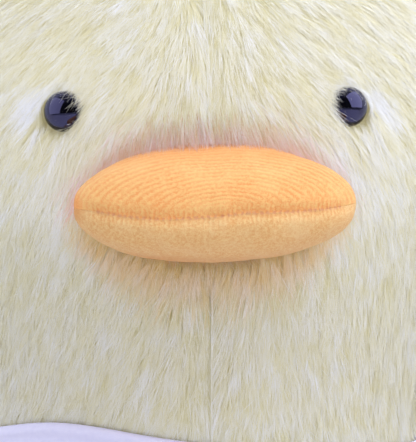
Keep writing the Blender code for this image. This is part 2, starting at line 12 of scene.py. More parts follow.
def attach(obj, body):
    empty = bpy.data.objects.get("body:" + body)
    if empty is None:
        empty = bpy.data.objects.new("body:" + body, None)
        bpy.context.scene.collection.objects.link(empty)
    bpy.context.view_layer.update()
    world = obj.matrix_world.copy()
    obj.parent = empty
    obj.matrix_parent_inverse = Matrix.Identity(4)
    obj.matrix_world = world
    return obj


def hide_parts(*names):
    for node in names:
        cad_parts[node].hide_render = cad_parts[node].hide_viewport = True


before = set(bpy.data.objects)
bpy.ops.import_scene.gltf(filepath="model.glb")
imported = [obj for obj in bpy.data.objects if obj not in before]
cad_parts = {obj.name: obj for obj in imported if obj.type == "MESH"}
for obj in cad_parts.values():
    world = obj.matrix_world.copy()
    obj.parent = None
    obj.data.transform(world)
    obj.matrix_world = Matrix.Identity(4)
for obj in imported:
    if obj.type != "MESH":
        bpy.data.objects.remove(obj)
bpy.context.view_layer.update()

MM = 0.001
SIDES = {"left": 1, "right": -1}


# Covers of the head and body. The real ones are knitted backing cut in left and right panels,
# sewn down the middle of the face and back, and drawn in at the neck by the seam of head to body.
# Fibre filling swells them, and the long pile grows from them.

HEAD_HALF_WIDTH = 110 * MM
HEAD_HALF_DEPTH = 98 * MM
HEAD_HALF_HEIGHT = 102 * MM
HEAD_LEVEL = 232 * MM
HEAD_BACK_SHIFT = -5 * MM
NECK_HALF_WIDTH = 88 * MM
NECK_HALF_DEPTH = 80 * MM
NECK_LEVEL = 122 * MM
BODY_HALF_WIDTH = 121 * MM
BODY_HALF_DEPTH = 110 * MM
BODY_LEVEL = 60 * MM
BODY_BACK_SHIFT = 1 * MM
BASE_GIRTH_SHARE = 0.8
CROWN_POWER = 2.2
GIRTH_POWER = 2.1
PILE_DEPTH = 8 * MM
BACKING = 1.2 * MM
SKIN = BACKING - PILE_DEPTH
SEAM_DIP = 0.9 * MM
SEAM_HALF_WIDTH = 3.5 * MM
SEAM_LOW_SHARE = 0.3
SEAM_CHANGE = 30 * MM
FRONT_COLUMNS = 56
BACK_COLUMNS = 26
NECK_ROWS = 44
CROWN_ROWS = 64
BODY_ROWS = 16


def ease(t):
    t = np.clip(t, 0, 1)
    return t * t * (3 - 2 * t)


def between(value, low, high):
    """Eased share of the way from low to high."""
    return ease((value - low) / (high - low))


def fullness(t, power):
    """Height of a unit superellipse at t from its middle."""
    t = np.clip(t, 0, 1)
    return (1 - t ** power) ** (1 / power)


def round_power(value, power):
    """One coordinate of a superellipse, from the cosine or the sine of its angle."""
    return np.abs(value) ** (2 / power) * np.sign(value)


def torso_section(z, grow):
    """Half-width, half-depth and middle y of the torso at a height, grown by a distance."""
    if z >= HEAD_LEVEL:
        full = fullness((z - HEAD_LEVEL) / (HEAD_HALF_HEIGHT + grow), CROWN_POWER)
        return (HEAD_HALF_WIDTH + grow) * full, (HEAD_HALF_DEPTH + grow) * full, HEAD_BACK_SHIFT
    if z >= NECK_LEVEL:
        t = ease((z - NECK_LEVEL) / (HEAD_LEVEL - NECK_LEVEL))
        wide = (HEAD_HALF_WIDTH, HEAD_HALF_DEPTH, HEAD_BACK_SHIFT)
    elif z >= BODY_LEVEL:
        t = ease((NECK_LEVEL - z) / (NECK_LEVEL - BODY_LEVEL))
        wide = (BODY_HALF_WIDTH, BODY_HALF_DEPTH, BODY_BACK_SHIFT)
    else:
        drop = BODY_LEVEL / fullness(BASE_GIRTH_SHARE, CROWN_POWER)
        full = fullness((BODY_LEVEL - max(z, 0)) / drop, CROWN_POWER)
        return (BODY_HALF_WIDTH + grow) * full, (BODY_HALF_DEPTH + grow) * full, BODY_BACK_SHIFT
    neck_shift = (HEAD_BACK_SHIFT + BODY_BACK_SHIFT) / 2
    width = NECK_HALF_WIDTH + (wide[0] - NECK_HALF_WIDTH) * t + grow
    depth = NECK_HALF_DEPTH + (wide[1] - NECK_HALF_DEPTH) * t + grow
    return width, depth, neck_shift + (wide[2] - neck_shift) * t


def torso_row(angles, z, grow):
    """Points of the torso round Z at one height, for an array of angles."""
    width, depth, shift = torso_section(z, grow)
    x = width * round_power(np.cos(angles), GIRTH_POWER)
    y = shift + depth * round_power(np.sin(angles), GIRTH_POWER)
    return np.stack([x, y, np.full(len(angles), z)], 1)


def torso_front(x, z, grow):
    """The torso's front surface at a place across and a height."""
    width, depth, shift = torso_section(z, grow)
    return Vector((x, shift - depth * fullness(abs(x) / width, GIRTH_POWER), z))


def torso_normal(x, z, grow):
    """Outward normal of the torso's front surface."""
    across = torso_front(x + MM, z, grow) - torso_front(x - MM, z, grow)
    up = torso_front(x, z + MM, grow) - torso_front(x, z - MM, grow)
    return across.cross(up).normalized()


def side_angles(side):
    """Angles round Z of one panel's columns, closest together on the face."""
    front = np.linspace(-pi / 2, 0, FRONT_COLUMNS, endpoint=False)
    angles = np.concatenate([front, np.linspace(0, pi / 2, BACK_COLUMNS + 1)])
    return angles if side > 0 else pi - angles[::-1]


def surface(name, rows, closed=False, start=None, end=None):
    """A sheet through rows of points, closed round them or not, with a pole before or after them."""
    rows = np.asarray(rows, float)
    high, wide = rows.shape[:2]
    index = np.arange(high * wide).reshape(high, wide)
    if closed:
        index = np.concatenate([index, index[:, :1]], 1)
    corners = [index[:-1, :-1], index[:-1, 1:], index[1:, 1:], index[1:, :-1]]
    faces = np.stack(corners, -1).reshape(-1, 4).tolist()
    points = rows.reshape(-1, 3).tolist()
    if start is not None:
        faces += [(len(points), b, a) for a, b in zip(index[0], index[0][1:])]
        points.append(tuple(start))
    if end is not None:
        faces += [(len(points), a, b) for a, b in zip(index[-1], index[-1][1:])]
        points.append(tuple(end))
    mesh = bpy.data.meshes.new(name)
    mesh.from_pydata(points, [], faces)
    mesh.shade_smooth()
    return show(name, mesh)


def show(name, mesh):
    piece = bpy.data.objects.new(name, mesh)
    bpy.context.scene.collection.objects.link(piece)
    return piece


def points_of(piece):
    """Places and normals of a piece's vertices, as arrays."""
    mesh = piece.data
    places = np.empty(len(mesh.vertices) * 3, np.float32)
    normals = np.empty(len(mesh.vertices) * 3, np.float32)
    mesh.vertices.foreach_get("co", places)
    mesh.vertex_normals.foreach_get("vector", normals)
    return places.reshape(-1, 3).astype(float), normals.reshape(-1, 3).astype(float)


def note(piece, name, values):
    """Keeps a number or a vector for each vertex under a name."""
    values = np.asarray(values, np.float32)
    kind, field = ("FLOAT", "value") if values.ndim == 1 else ("FLOAT_VECTOR", "vector")
    attribute = piece.data.attributes.new(name, kind, "POINT")
    attribute.data.foreach_set(field, values.ravel())


head_levels = np.concatenate([
    np.linspace(NECK_LEVEL, HEAD_LEVEL, NECK_ROWS, endpoint=False),
    HEAD_LEVEL + (HEAD_HALF_HEIGHT + SKIN) * np.sin(np.linspace(0, pi / 2, CROWN_ROWS))[:-1],
])
body_levels = np.concatenate([
    np.linspace(BACKING, BODY_LEVEL, BODY_ROWS, endpoint=False),
    np.linspace(BODY_LEVEL, NECK_LEVEL, BODY_ROWS),
])
covers = {}
for word, side in SIDES.items():
    for part, levels in (("head", head_levels), ("body", body_levels)):
        cover = surface(f"{part}_{word}_cover", [torso_row(side_angles(side), z, SKIN) for z in levels])
        places, normals = points_of(cover)
        dip = SEAM_DIP * np.exp(-(places[:, 0] / SEAM_HALF_WIDTH) ** 2)
        high = between(places[:, 2], HEAD_LEVEL - SEAM_CHANGE, HEAD_LEVEL)
        dip *= SEAM_LOW_SHARE + (1 - SEAM_LOW_SHARE) * high
        cover.data.vertices.foreach_set("co", (places - normals * dip[:, None]).astype(np.float32).ravel())
        covers[part, word] = cover


# Fur pile of the head and body. It is long acrylic pile, whiter at the tips and yellower at the
# roots, that falls down and outward from the middle seam and lies in small locks. Its colour also
# holds painted light: a bluish painted sheen at the tips, painted shade at the roots and on low
# strands, and the bill's painted bounce light and shade beside the bill.

class Wire:
    """A node's output. Sums and products of wires add the nodes that work them out."""

    def __init__(self, tree, socket):
        self.tree = tree
        self.socket = socket

    def __add__(self, other):
        return self.tree.work("ADD", self, other)

    def __radd__(self, other):
        return self.tree.work("ADD", other, self)

    def __sub__(self, other):
        return self.tree.work("SUBTRACT", self, other)

    def __rsub__(self, other):
        return self.tree.work("SUBTRACT", other, self)

    def __mul__(self, other):
        return self.tree.work("MULTIPLY", self, other)

    def __rmul__(self, other):
        return self.tree.work("MULTIPLY", other, self)

    def __truediv__(self, other):
        return self.tree.work("DIVIDE", self, other)

    def __rtruediv__(self, other):
        return self.tree.work("DIVIDE", other, self)

    def __pow__(self, other):
        return self.tree.work("POWER", self, other)


class Tree:
    """A node tree that is being built."""

    def __init__(self, group):
        self.group = group

    def set(self, socket, value):
        if isinstance(value, Wire):
            self.group.links.new(value.socket, socket)
        else:
            socket.default_value = value

    def node(self, kind, sockets=None, out=0, stops=None, **settings):
        """Adds a node. sockets are its inputs by name or number, out the output or outputs wanted."""
        made = self.group.nodes.new(kind)
        for name, value in settings.items():
            setattr(made, name, value)
        if stops:
            ramp = made.color_ramp.elements
            for k, (place, colour) in enumerate(stops):
                stop = ramp[k] if k < 2 else ramp.new(place)
                stop.position = place
                stop.color = (*colour, 1)
        for name, value in (sockets or {}).items():
            if isinstance(name, int):
                self.set(made.inputs[name], value)
            else:
                self.set(next(s for s in made.inputs if s.name == name and s.enabled), value)
        wanted = out if isinstance(out, tuple) else (out,)
        wires = []
        for name in wanted:
            if isinstance(name, int):
                found = [s for s in made.outputs if s.enabled][name]
            else:
                found = next(s for s in made.outputs if s.name == name and s.enabled)
            wires.append(Wire(self, found))
        return wires if isinstance(out, tuple) else wires[0]

    def work(self, operation, first, second=0.0):
        """A sum of numbers or of vectors; a number times a vector scales it."""
        vectors = []
        for value in (first, second):
            wired = isinstance(value, Wire) and value.socket.type == "VECTOR"
            vectors.append(wired or isinstance(value, tuple))
        if not any(vectors):
            return self.node("ShaderNodeMath", {0: first, 1: second}, operation=operation)
        if operation == "MULTIPLY" and not all(vectors):
            vector, number = (first, second) if vectors[0] else (second, first)
            return self.node("ShaderNodeVectorMath", {"Vector": vector, "Scale": number}, operation="SCALE")
        return self.node("ShaderNodeVectorMath", {0: first, 1: second}, operation=operation)

    def vector(self, operation, first, second=None, out=0):
        sockets = {0: first}
        if second is not None:
            sockets[1] = second
        return self.node("ShaderNodeVectorMath", sockets, out=out, operation=operation)

    def least(self, first, second):
        return self.work("MINIMUM", first, second)

    def most(self, first, second):
        return self.work("MAXIMUM", first, second)

    def blend(self, share, first, second):
        """A number between two numbers."""
        return first + (second - first) * share

    def eased(self, value, low, high):
        """Eased share of the way from low to high."""
        sockets = {"Value": value, "From Min": low, "From Max": high}
        return self.node("ShaderNodeMapRange", sockets, interpolation_type="SMOOTHSTEP")


PILE_SIZES = {
    "Density": 4.4e6,
    "Lock Density": 0.3e6,
    "Width": 0.2 * MM,
    "Low": 1.8 * MM,
    "High": 6 * MM,
    "Pull": 0.45,
    "Lock Turn": radians(14),
    "Strand Turn": radians(9),
    "Roll": radians(16),
    "Curl": 1.1 * MM,
    "Strays": 0.05,
    "Stray Turn": radians(30),
    "Overhang": 7 * MM,
    "Softness": 0.88,
    "Bend Scatter": 11 * MM,
    "Eye Room": 7.9 * MM,
    "Eye Gap": 1.8 * MM,
    "Floor Gap": 0.3 * MM,
}
# Steps of the bill's painted bounce light and shade on the pile: pink painted bounce over the bill, plain,
# then orange painted shade and bounce below it.
BOUNCE_SHADE_STEPS = [
    (0.0, (1.0, 0.69, 0.66)),
    (0.2, (1.0, 0.85, 0.86)),
    (0.4, (1.0, 1.0, 1.0)),
    (0.6, (1.0, 0.88, 0.72)),
    (0.8, (1.0, 0.78, 0.5)),
    (1.0, (0.98, 0.64, 0.28)),
]
BOUNCE_SHADE_COUNT = float(len(BOUNCE_SHADE_STEPS))
PLAIN_STEP = 2.0


def pile_tree():
    """Grows strands on a cover, from what note_pile keeps on its vertices."""
    group = bpy.data.node_groups.new("pile", "GeometryNodeTree")
    group.interface.new_socket("Cover", in_out="INPUT", socket_type="NodeSocketGeometry")
    for name, value in PILE_SIZES.items():
        socket = group.interface.new_socket(name, in_out="INPUT", socket_type="NodeSocketFloat")
        socket.default_value = value
    for name in ("Eye", "Eye Side"):
        group.interface.new_socket(name, in_out="INPUT", socket_type="NodeSocketVector")
    group.interface.new_socket("Zone", in_out="INPUT", socket_type="NodeSocketString")
    group.interface.new_socket("Seed", in_out="INPUT", socket_type="NodeSocketInt")
    group.interface.new_socket("Material", in_out="INPUT", socket_type="NodeSocketMaterial")
    group.interface.new_socket("Pile", in_out="OUTPUT", socket_type="NodeSocketGeometry")
    tree = Tree(group)
    given_node = group.nodes.new("NodeGroupInput")
    given = {s.name: Wire(tree, s) for s in given_node.outputs if s.name}
    cover = given["Cover"]
    seed = given["Seed"]

    def noted(name, kind="FLOAT"):
        return tree.node("GeometryNodeInputNamedAttribute", {"Name": name}, data_type=kind)

    def keep(geometry, name, value, kind="FLOAT"):
        sockets = {"Geometry": geometry, "Name": name, "Value": value}
        return tree.node("GeometryNodeStoreNamedAttribute", sockets, data_type=kind, domain="POINT")

    def chance(number, low=0.0, high=1.0, who=None):
        sockets = {"Min": low, "Max": high, "Seed": seed + float(number)}
        if who is not None:
            sockets["ID"] = who
        return tree.node("FunctionNodeRandomValue", sockets, data_type="FLOAT")

    # Roots are scattered over the zone, and each leans to the nearest lock.
    thick = noted(given["Zone"])
    scatter = {"Mesh": cover, "Density": given["Density"] * thick, "Seed": seed}
    roots = tree.node("GeometryNodeDistributePointsOnFaces", scatter, out=0, distribute_method="RANDOM")
    scatter = {"Mesh": cover, "Density": given["Lock Density"], "Seed": seed + 7.0}
    locks = tree.node("GeometryNodeDistributePointsOnFaces", scatter, out=0, distribute_method="RANDOM")

    place = tree.node("GeometryNodeInputPosition")
    sockets = {"Geometry": locks, "Sample Position": place}
    lock = tree.node("GeometryNodeSampleNearest", sockets, domain="POINT")
    sockets = {"Geometry": locks, "Value": place, "Index": lock}
    lock_place = tree.node("GeometryNodeSampleIndex", sockets, data_type="FLOAT_VECTOR", domain="POINT")

    # The way a strand falls: the nap's, turned a little for its lock and for itself.
    fall, out = noted("fall", "FLOAT_VECTOR"), noted("out", "FLOAT_VECTOR")
    stray = tree.work("GREATER_THAN", chance(14), 1.0 - given["Strays"])
    wispy = tree.work("LESS_THAN", noted("stop"), 0.5)
    turned = chance(1, -1.0, 1.0, lock) * given["Lock Turn"] + chance(2, -1.0, 1.0) * given["Strand Turn"]
    turned = turned + chance(15, -1.0, 1.0) * given["Stray Turn"] * stray
    sockets = {"Vector": fall, "Axis": out, "Angle": turned}
    fall = tree.node("ShaderNodeVectorRotate", sockets, rotation_type="AXIS_ANGLE")
    fall = tree.vector("NORMALIZE", fall)

    # Its length and height. Strands in the middle of a lock lie higher.
    length = 0.8 + chance(3, 0.0, 0.25, lock) + chance(4, 0.0, 0.2)
    reach = noted("reach") * length
    stop = noted("stop") + given["Overhang"] * chance(5) ** 7.0
    reach = tree.least(reach, stop)
    gather = lock_place - place
    gather = gather - fall * tree.vector("DOT_PRODUCT", gather, fall, out="Value")
    edge = tree.vector("LENGTH", gather, out="Value") * given["Lock Density"] ** 0.5 * 1.4
    level = chance(6) * 0.3 + chance(7, 0.0, 0.45, lock) + (1.0 - tree.least(edge, 1.0)) * 0.25
    height = tree.blend(level, given["Low"], given["High"]) * noted("lift") * (1.0 + stray * 0.12)
    gather = gather * given["Pull"]
    sideways = tree.vector("NORMALIZE", tree.vector("CROSS_PRODUCT", fall, out))
    roll = chance(8, -1.0, 1.0) * given["Roll"]
    sockets = {"Vector": sideways, "Axis": fall, "Angle": roll}
    broad = tree.node("ShaderNodeVectorRotate", sockets, rotation_type="AXIS_ANGLE")

    # Its colour: paler where it lies high, as painted highlight over painted shade on the low strands; paler
    # where noted pale; and in one of the steps of the bill's painted bounce light and shade, from pink to
    # orange.
    tint = level * 0.45 + chance(9, 0.0, 0.36, lock) + chance(10, 0.0, 0.14) + 0.03
    tint = tree.least(tint + stray * 0.25 + noted("pale") * 0.4, 1.0)
    bounce_shade_step = tree.work("FLOOR", noted("warm") + chance(11, 0.1, 0.9))
    bounce_shade_step = tree.most(tree.least(bounce_shade_step, BOUNCE_SHADE_COUNT - 1 - PLAIN_STEP), -PLAIN_STEP)
    hue = (bounce_shade_step + PLAIN_STEP + tint * 0.92 + 0.04) / BOUNCE_SHADE_COUNT

    for name, value, kind in (
        ("root", place, "FLOAT_VECTOR"),
        ("fall_now", fall, "FLOAT_VECTOR"),
        ("gather", gather, "FLOAT_VECTOR"),
        ("broad", broad, "FLOAT_VECTOR"),
        ("curl", sideways * chance(12, -1.0, 1.0) * given["Curl"] * (1.0 + wispy + stray), "FLOAT_VECTOR"),
        ("reach_now", reach, "FLOAT"),
        ("height", height, "FLOAT"),
        ("early", chance(16) * given["Bend Scatter"], "FLOAT"),
        ("droop", chance(17, 0.5, 0.95), "FLOAT"),
        ("hue", hue, "FLOAT"),
        ("wide", given["Width"] * chance(13, 0.7, 1.3) * (1.0 - wispy * 0.4) * (1.0 - stray * 0.3), "FLOAT"),
    ):
        roots = keep(roots, name, value, kind)

    # A blade four points long, tapered to both ends, stands on each root.
    sockets = {"Size X": 2.0, "Size Y": 1.0, "Vertices X": 2, "Vertices Y": 4}
    blade = tree.node("GeometryNodeMeshGrid", sockets, out="Mesh")
    flat = tree.node("ShaderNodeSeparateXYZ", {0: place}, out=("X", "Y"))
    along = flat[1] + 0.5
    taper = tree.work("SINE", along ** 0.62 * pi)
    shaped = tree.node("ShaderNodeCombineXYZ", {"X": flat[0] * taper, "Y": along})
    blade = tree.node("GeometryNodeSetPosition", {"Geometry": blade, "Position": shaped})
    blade = tree.node("GeometryNodeMergeByDistance", {"Geometry": blade, "Distance": 0.001})
    blade = keep(blade, "blade", place, "FLOAT_VECTOR")
    strands = tree.node("GeometryNodeInstanceOnPoints", {"Points": roots, "Instance": blade})
    strands = tree.node("GeometryNodeRealizeInstances", {"Geometry": strands})

    # Each point goes down the fall, up from the cover, and outward past where the strand bends.
    flat = tree.node("ShaderNodeSeparateXYZ", {0: noted("blade", "FLOAT_VECTOR")}, out=("X", "Y"))
    along = flat[1]
    ahead = noted("reach_now") * along
    turn_at = noted("bend_at") - noted("height") * 0.15 - noted("early")
    before = tree.least(ahead, tree.most(turn_at, 0.0))
    spot = noted("root", "FLOAT_VECTOR") + noted("fall_now", "FLOAT_VECTOR") * before
    spot = spot + noted("gather", "FLOAT_VECTOR") * along ** 1.5
    spot = spot + noted("curl", "FLOAT_VECTOR") * (along * along)
    ground = tree.node("GeometryNodeProximity", {0: cover, "Sample Position": spot}, target_element="FACES")
    sockets = {"Mesh": cover, "Value": noted("out", "FLOAT_VECTOR"), "Sample Position": spot}
    up = tree.node("GeometryNodeSampleNearestSurface", sockets, data_type="FLOAT_VECTOR")
    rise = tree.most((1.0 - (1.0 - along) ** 4.0) * 0.45 + along * 0.55, noted("stand"))
    spot = ground + up * (noted("height") * rise)
    drooped = tree.node("ShaderNodeCombineXYZ", {"Z": 0.0 - noted("droop")})
    spot = spot + (noted("bend", "FLOAT_VECTOR") + drooped) * (ahead - before)

    # It stays clear of the eye, more so on its outer side, and of the floor.
    aside = spot - given["Eye"]
    away = tree.vector("LENGTH", aside, out="Value")
    outer = tree.vector("DOT_PRODUCT", aside, given["Eye Side"], out="Value") / away
    room = given["Eye Room"] + given["Eye Gap"] * tree.eased(outer, 0.6, 0.95)
    spot = given["Eye"] + aside * (tree.most(away, room) / away)
    lowest = tree.node("ShaderNodeCombineXYZ", {"X": -1.0, "Y": -1.0, "Z": given["Floor Gap"]})
    spot = tree.vector("MAXIMUM", spot, lowest)
    spot = spot + noted("broad", "FLOAT_VECTOR") * (flat[0] * noted("wide") * 0.5)
    strands = tree.node("GeometryNodeSetPosition", {"Geometry": strands, "Position": spot})
    strands = tree.node("GeometryNodeSetShadeSmooth", {"Geometry": strands, "Shade Smooth": True})

    # Its shading is mostly the cover's, and its place on the fibre's colours is kept as a map.
    facing = tree.node("GeometryNodeInputNormal", out="Normal")
    facing = facing * (1.0 - given["Softness"]) + noted("out", "FLOAT_VECTOR") * given["Softness"]
    facing = facing + tree.node("ShaderNodeCombineXYZ", {"Z": noted("tipped_up")})
    sockets = {"Mesh": strands, "Custom Normal": tree.vector("NORMALIZE", facing)}
    strands = tree.node("GeometryNodeSetMeshNormal", sockets, mode="FREE", domain="POINT")
    # A standing strand keeps its tip colour along its length, clear of the painted root shade.
    colour_along = tree.most(along, noted("stand") * 0.85) * 0.96 + 0.02
    map_place = tree.node("ShaderNodeCombineXYZ", {"X": noted("hue"), "Y": colour_along})
    sockets = {"Geometry": strands, "Name": "OFBake", "Value": map_place}
    strands = tree.node("GeometryNodeStoreNamedAttribute", sockets, data_type="FLOAT2", domain="CORNER")
    strands = tree.node("GeometryNodeSetMaterial", {"Geometry": strands, "Material": given["Material"]})
    output = group.nodes.new("NodeGroupOutput")
    group.links.new(strands.socket, output.inputs[0])
    return group


PILE_KEPT = {
    "custom_normal", "position", ".edge_verts", ".corner_vert", ".corner_edge",
    "OFBake", "material_index", "sharp_face",
}
pile_group = pile_tree()


def made_by(group, name, base, inputs):
    """The plain mesh that a node group makes from a piece, with its inputs given by their names."""
    modifier = base.modifiers.new(group.name, "NODES")
    modifier.node_group = group
    for item in group.interface.items_tree:
        if item.in_out == "INPUT" and item.name in inputs:
            modifier[item.identifier] = inputs[item.name]
    base.update_tag()
    graph = bpy.context.evaluated_depsgraph_get()
    mesh = bpy.data.meshes.new_from_object(base.evaluated_get(graph), depsgraph=graph)
    mesh.name = name
    base.modifiers.remove(modifier)
    return mesh


def fur_piece(name, cover, zone, body, seed, **sizes):
    """A piece of pile on a cover, dense where its zone is noted."""
    mesh = made_by(pile_group, name, cover, {"Zone": zone, "Material": fibre, "Seed": seed, **sizes})
    for attribute in [a.name for a in mesh.attributes if a.name not in PILE_KEPT]:
        mesh.attributes.remove(mesh.attributes[attribute])
    pile = show(name, mesh)
    pile.visible_shadow = False
    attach(pile, body)


def new_material(name):
    """An empty material's tree, with its Principled shader."""
    material = bpy.data.materials.new(name)
    material.use_nodes = True
    shader = material.node_tree.nodes["Principled BSDF"]
    return material, Tree(material.node_tree), shader


def finish_shader(tree, shader, **sockets):
    """Sets the shader's inputs, each named with _ for a space."""
    for name, value in sockets.items():
        tree.set(shader.inputs[name.replace("_", " ")], value)


def mixed(tree, share, first, second, blend_type="MIX"):
    """A colour between two colours."""
    sockets = {"Factor": share, "A": first, "B": second}
    return tree.node("ShaderNodeMix", sockets, data_type="RGBA", blend_type=blend_type)


def grain(tree, scale, detail=2.0):
    """Noise that stays with the piece, with a scale of swells to the metre."""
    place = tree.node("ShaderNodeTexCoord", out="Object")
    return tree.node("ShaderNodeTexNoise", {"Vector": place, "Scale": scale, "Detail": detail}, out=0)


def noted_on(tree, name):
    """A number that note keeps on the piece's vertices."""
    return tree.node("ShaderNodeAttribute", attribute_name=name, out="Fac")


def relief(tree, height, strength, distance):
    """The normal of a surface with a height over it."""
    sockets = {"Strength": strength, "Distance": distance, "Height": height}
    return tree.node("ShaderNodeBump", sockets, out="Normal")


# Tints rise with how high a strand lies, so the paler, bluish ones are partly painted highlight.
FIBRE_TINTS = [(0.22, (0.72, 0.65, 0.28)), (0.55, (0.85, 0.81, 0.61)), (0.82, (0.89, 0.89, 0.92))]
FIBRE_ROOT_AND_SHADE = (0.74, 0.66, 0.3, 1)
FIBRE_TIP_AND_SHEEN = (0.88, 0.89, 0.97, 1)


def pile_material():
    """Fibre colour from the strand's own map: its tint across, in each step of the bill's painted bounce
    light and shade, and root to tip up, with painted shade at the root and a painted bluish sheen at the tip.
    """
    material, tree, shader = new_material("pile_fibre")
    strand = tree.node("ShaderNodeUVMap", uv_map="OFBake")
    across, along = tree.node("ShaderNodeSeparateXYZ", {0: strand}, out=("X", "Y"))
    steps = across * BOUNCE_SHADE_COUNT
    colour = tree.node("ShaderNodeValToRGB", {0: tree.work("FRACT", steps)}, stops=FIBRE_TINTS)
    # Painted shade towards the root over its real yellower colour, and a painted bluish sheen towards the
    # tip.
    colour = mixed(tree, tree.eased(along, 0.55, 0.1) * 0.68, colour, FIBRE_ROOT_AND_SHADE)
    colour = mixed(tree, tree.eased(along, 0.6, 1.0) * 0.45, colour, FIBRE_TIP_AND_SHEEN)
    # The bill's painted bounce light and shade, by the strand's step.
    step = tree.work("FLOOR", steps) / (BOUNCE_SHADE_COUNT - 1)
    bounce_shade = tree.node("ShaderNodeValToRGB", {0: step}, stops=BOUNCE_SHADE_STEPS)
    colour = mixed(tree, 1.0, colour, bounce_shade, "MULTIPLY")
    finish_shader(tree, shader, Base_Color=colour, Roughness=0.8, Specular_IOR_Level=0.25)
    return material


EYE_SPREAD = 51 * MM
EYE_LEVEL = 250 * MM
EYE_RADIUS = 7.5 * MM
BILL_HALF_WIDTH = 50 * MM
BILL_UPPER_RISE = 21.5 * MM
BILL_LOWER_DROP = 20.5 * MM
BILL_REACH = 44 * MM
BILL_TIP_LEVEL = 211.5 * MM
BILL_DROOP_SHARE = 0.114
BILL_ROOT_WIDTH_SHARE = 0.88
BILL_SECTION_POWER = 2.15
bill_root_level = BILL_TIP_LEVEL + BILL_DROOP_SHARE * BILL_REACH

HEAD_PILE_REACH = 15 * MM
BODY_PILE_REACH = 17 * MM
HULL_PILE = {"Low": 2.6 * MM, "High": 9.2 * MM, "Width": 0.66 * MM, "Strays": 0.16, "Curl": 2.6 * MM}
HEAD_HULL_DENSITY = 1.35e6
BODY_HULL_DENSITY = 0.85e6
SEARCH_REACH = 26 * MM
SEARCH_STEP = 0.5 * MM
PARTING_HALF_WIDTH = 26 * MM
LEAN_LEVELS = [v * MM for v in (130, 180, 200, 220, 235, 250, 270, 320)]
LEAN_DEGREES = (10, 12, 14, 18, 25, 33, 37, 32)
FACE_DRIFT = radians(10)
CHEEK_LEVEL = 235 * MM
CHIN_LEVEL = 190 * MM
CHIN_PART_TURN = radians(16)
CHIN_PART_SPREAD = 6 * MM
WHORL_REACH = 15 * MM
CROWN_REACH = 34 * MM
FACE_HALF_WIDTH = 92 * MM
FACE_TOP = 306 * MM
FACE_BOTTOM = 118 * MM
FACE_DIVIDE = 215 * MM
FACE_FADE = 6 * MM
ROOT_SHOWN_SHARES = (0.97, 0.6)
BILL_LAPS = (8 * MM, 4 * MM)
SEAM_FLATTENING = 0.35
TUCKED_FLATTENING = 0.25
BODY_LEAN = radians(14)
WING_PLACE = (-2 * MM, 62 * MM)
WING_SPAN = (38 * MM, 46 * MM)
CLOTH_DROP = 13 * MM
CLOTH_POINT_DROP = 46 * MM
CLOTH_POINT_SPREAD = radians(58)


def along_down(normals):
    """The direction down each point's surface; at the crown's pole it points outward."""
    down = np.array([0, 0, -1.0]) + normals * normals[:, 2:]
    return down / np.maximum(np.linalg.norm(down, axis=1, keepdims=True), 1e-6)


def leaned(down, normals, angle):
    """Turns each direction about its normal; a positive angle leans it to +X on the face."""
    aside = np.cross(down, normals)
    return down * np.cos(angle)[:, None] - aside * np.sin(angle)[:, None]


def bill_root_fill(x, z):
    """Below 1 inside the outline of the bill's root, seen from the front."""
    rise = np.where(z > bill_root_level, BILL_UPPER_RISE, BILL_LOWER_DROP)
    wide = BILL_HALF_WIDTH * BILL_ROOT_WIDTH_SHARE
    part_x = np.abs(x / wide) ** BILL_SECTION_POWER
    return part_x + np.abs((z - bill_root_level) / rise) ** BILL_SECTION_POWER


def steps_until(places, fall, inside):
    """How far each point goes along its fall before it is inside; the search's reach if it never is."""
    found = np.full(len(places), SEARCH_REACH)
    for distance in np.arange(0, SEARCH_REACH, SEARCH_STEP)[::-1]:
        found[inside(places + fall * distance)] = distance
    return found


def flow(normals, towards):
    """Directions along a surface that lead a given way."""
    along = towards - normals * (normals * towards).sum(1, keepdims=True)
    return along / np.maximum(np.linalg.norm(along, axis=1, keepdims=True), 1e-6)


PILE_NOTES = {
    "lift": 1.0, "warm": 0.0, "stop": 1.0, "bend_at": 1.0,
    "pale": 0.0, "stand": 0.0, "tipped_up": 0.0,
}


def note_pile(cover, fall, bend=(0, -1, 0), **numbers):
    """Notes on a cover's vertices what its pile needs; a single value holds all over."""
    places, normals = points_of(cover)
    count = len(places)
    note(cover, "out", normals)
    note(cover, "fall", fall)
    note(cover, "bend", np.broadcast_to(bend, (count, 3)))
    for name, values in {**PILE_NOTES, **numbers}.items():
        note(cover, name, np.broadcast_to(values, count))


def thicken(piece, depth):
    """Gives a sheet its thickness, inward from its faces."""
    shell = piece.modifiers.new("thickness", "SOLIDIFY")
    shell.thickness = depth
    shell.offset = -1


def pad(piece, body, node, material, depth=0.0):
    """A stuffed or padded cover that stands for a solid: its material, thickness if given, body, and the
    solid's part hidden.
    """
    piece.data.materials.append(material)
    if depth:
        thicken(piece, depth)
    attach(piece, body)
    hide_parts(node)


def backing_material():
    """Knitted backing under the pile, with the bill's painted bounce light and shade in orange round the
    bill.
    """
    material, tree, shader = new_material("pile_backing")
    knit = grain(tree, 1100.0)
    warm = tree.eased(tree.work("ABSOLUTE", noted_on(tree, "warm")), 0.2, 1.5)
    colour = mixed(tree, knit, (0.76, 0.68, 0.36, 1), (0.86, 0.8, 0.54, 1))
    # The bill's painted bounce light and shade, orange.
    colour = mixed(tree, warm, colour, (0.9, 0.5, 0.2, 1))
    finish_shader(tree, shader, Base_Color=colour, Roughness=0.9, Normal=relief(tree, knit, 0.4, 0.3 * MM))
    return material


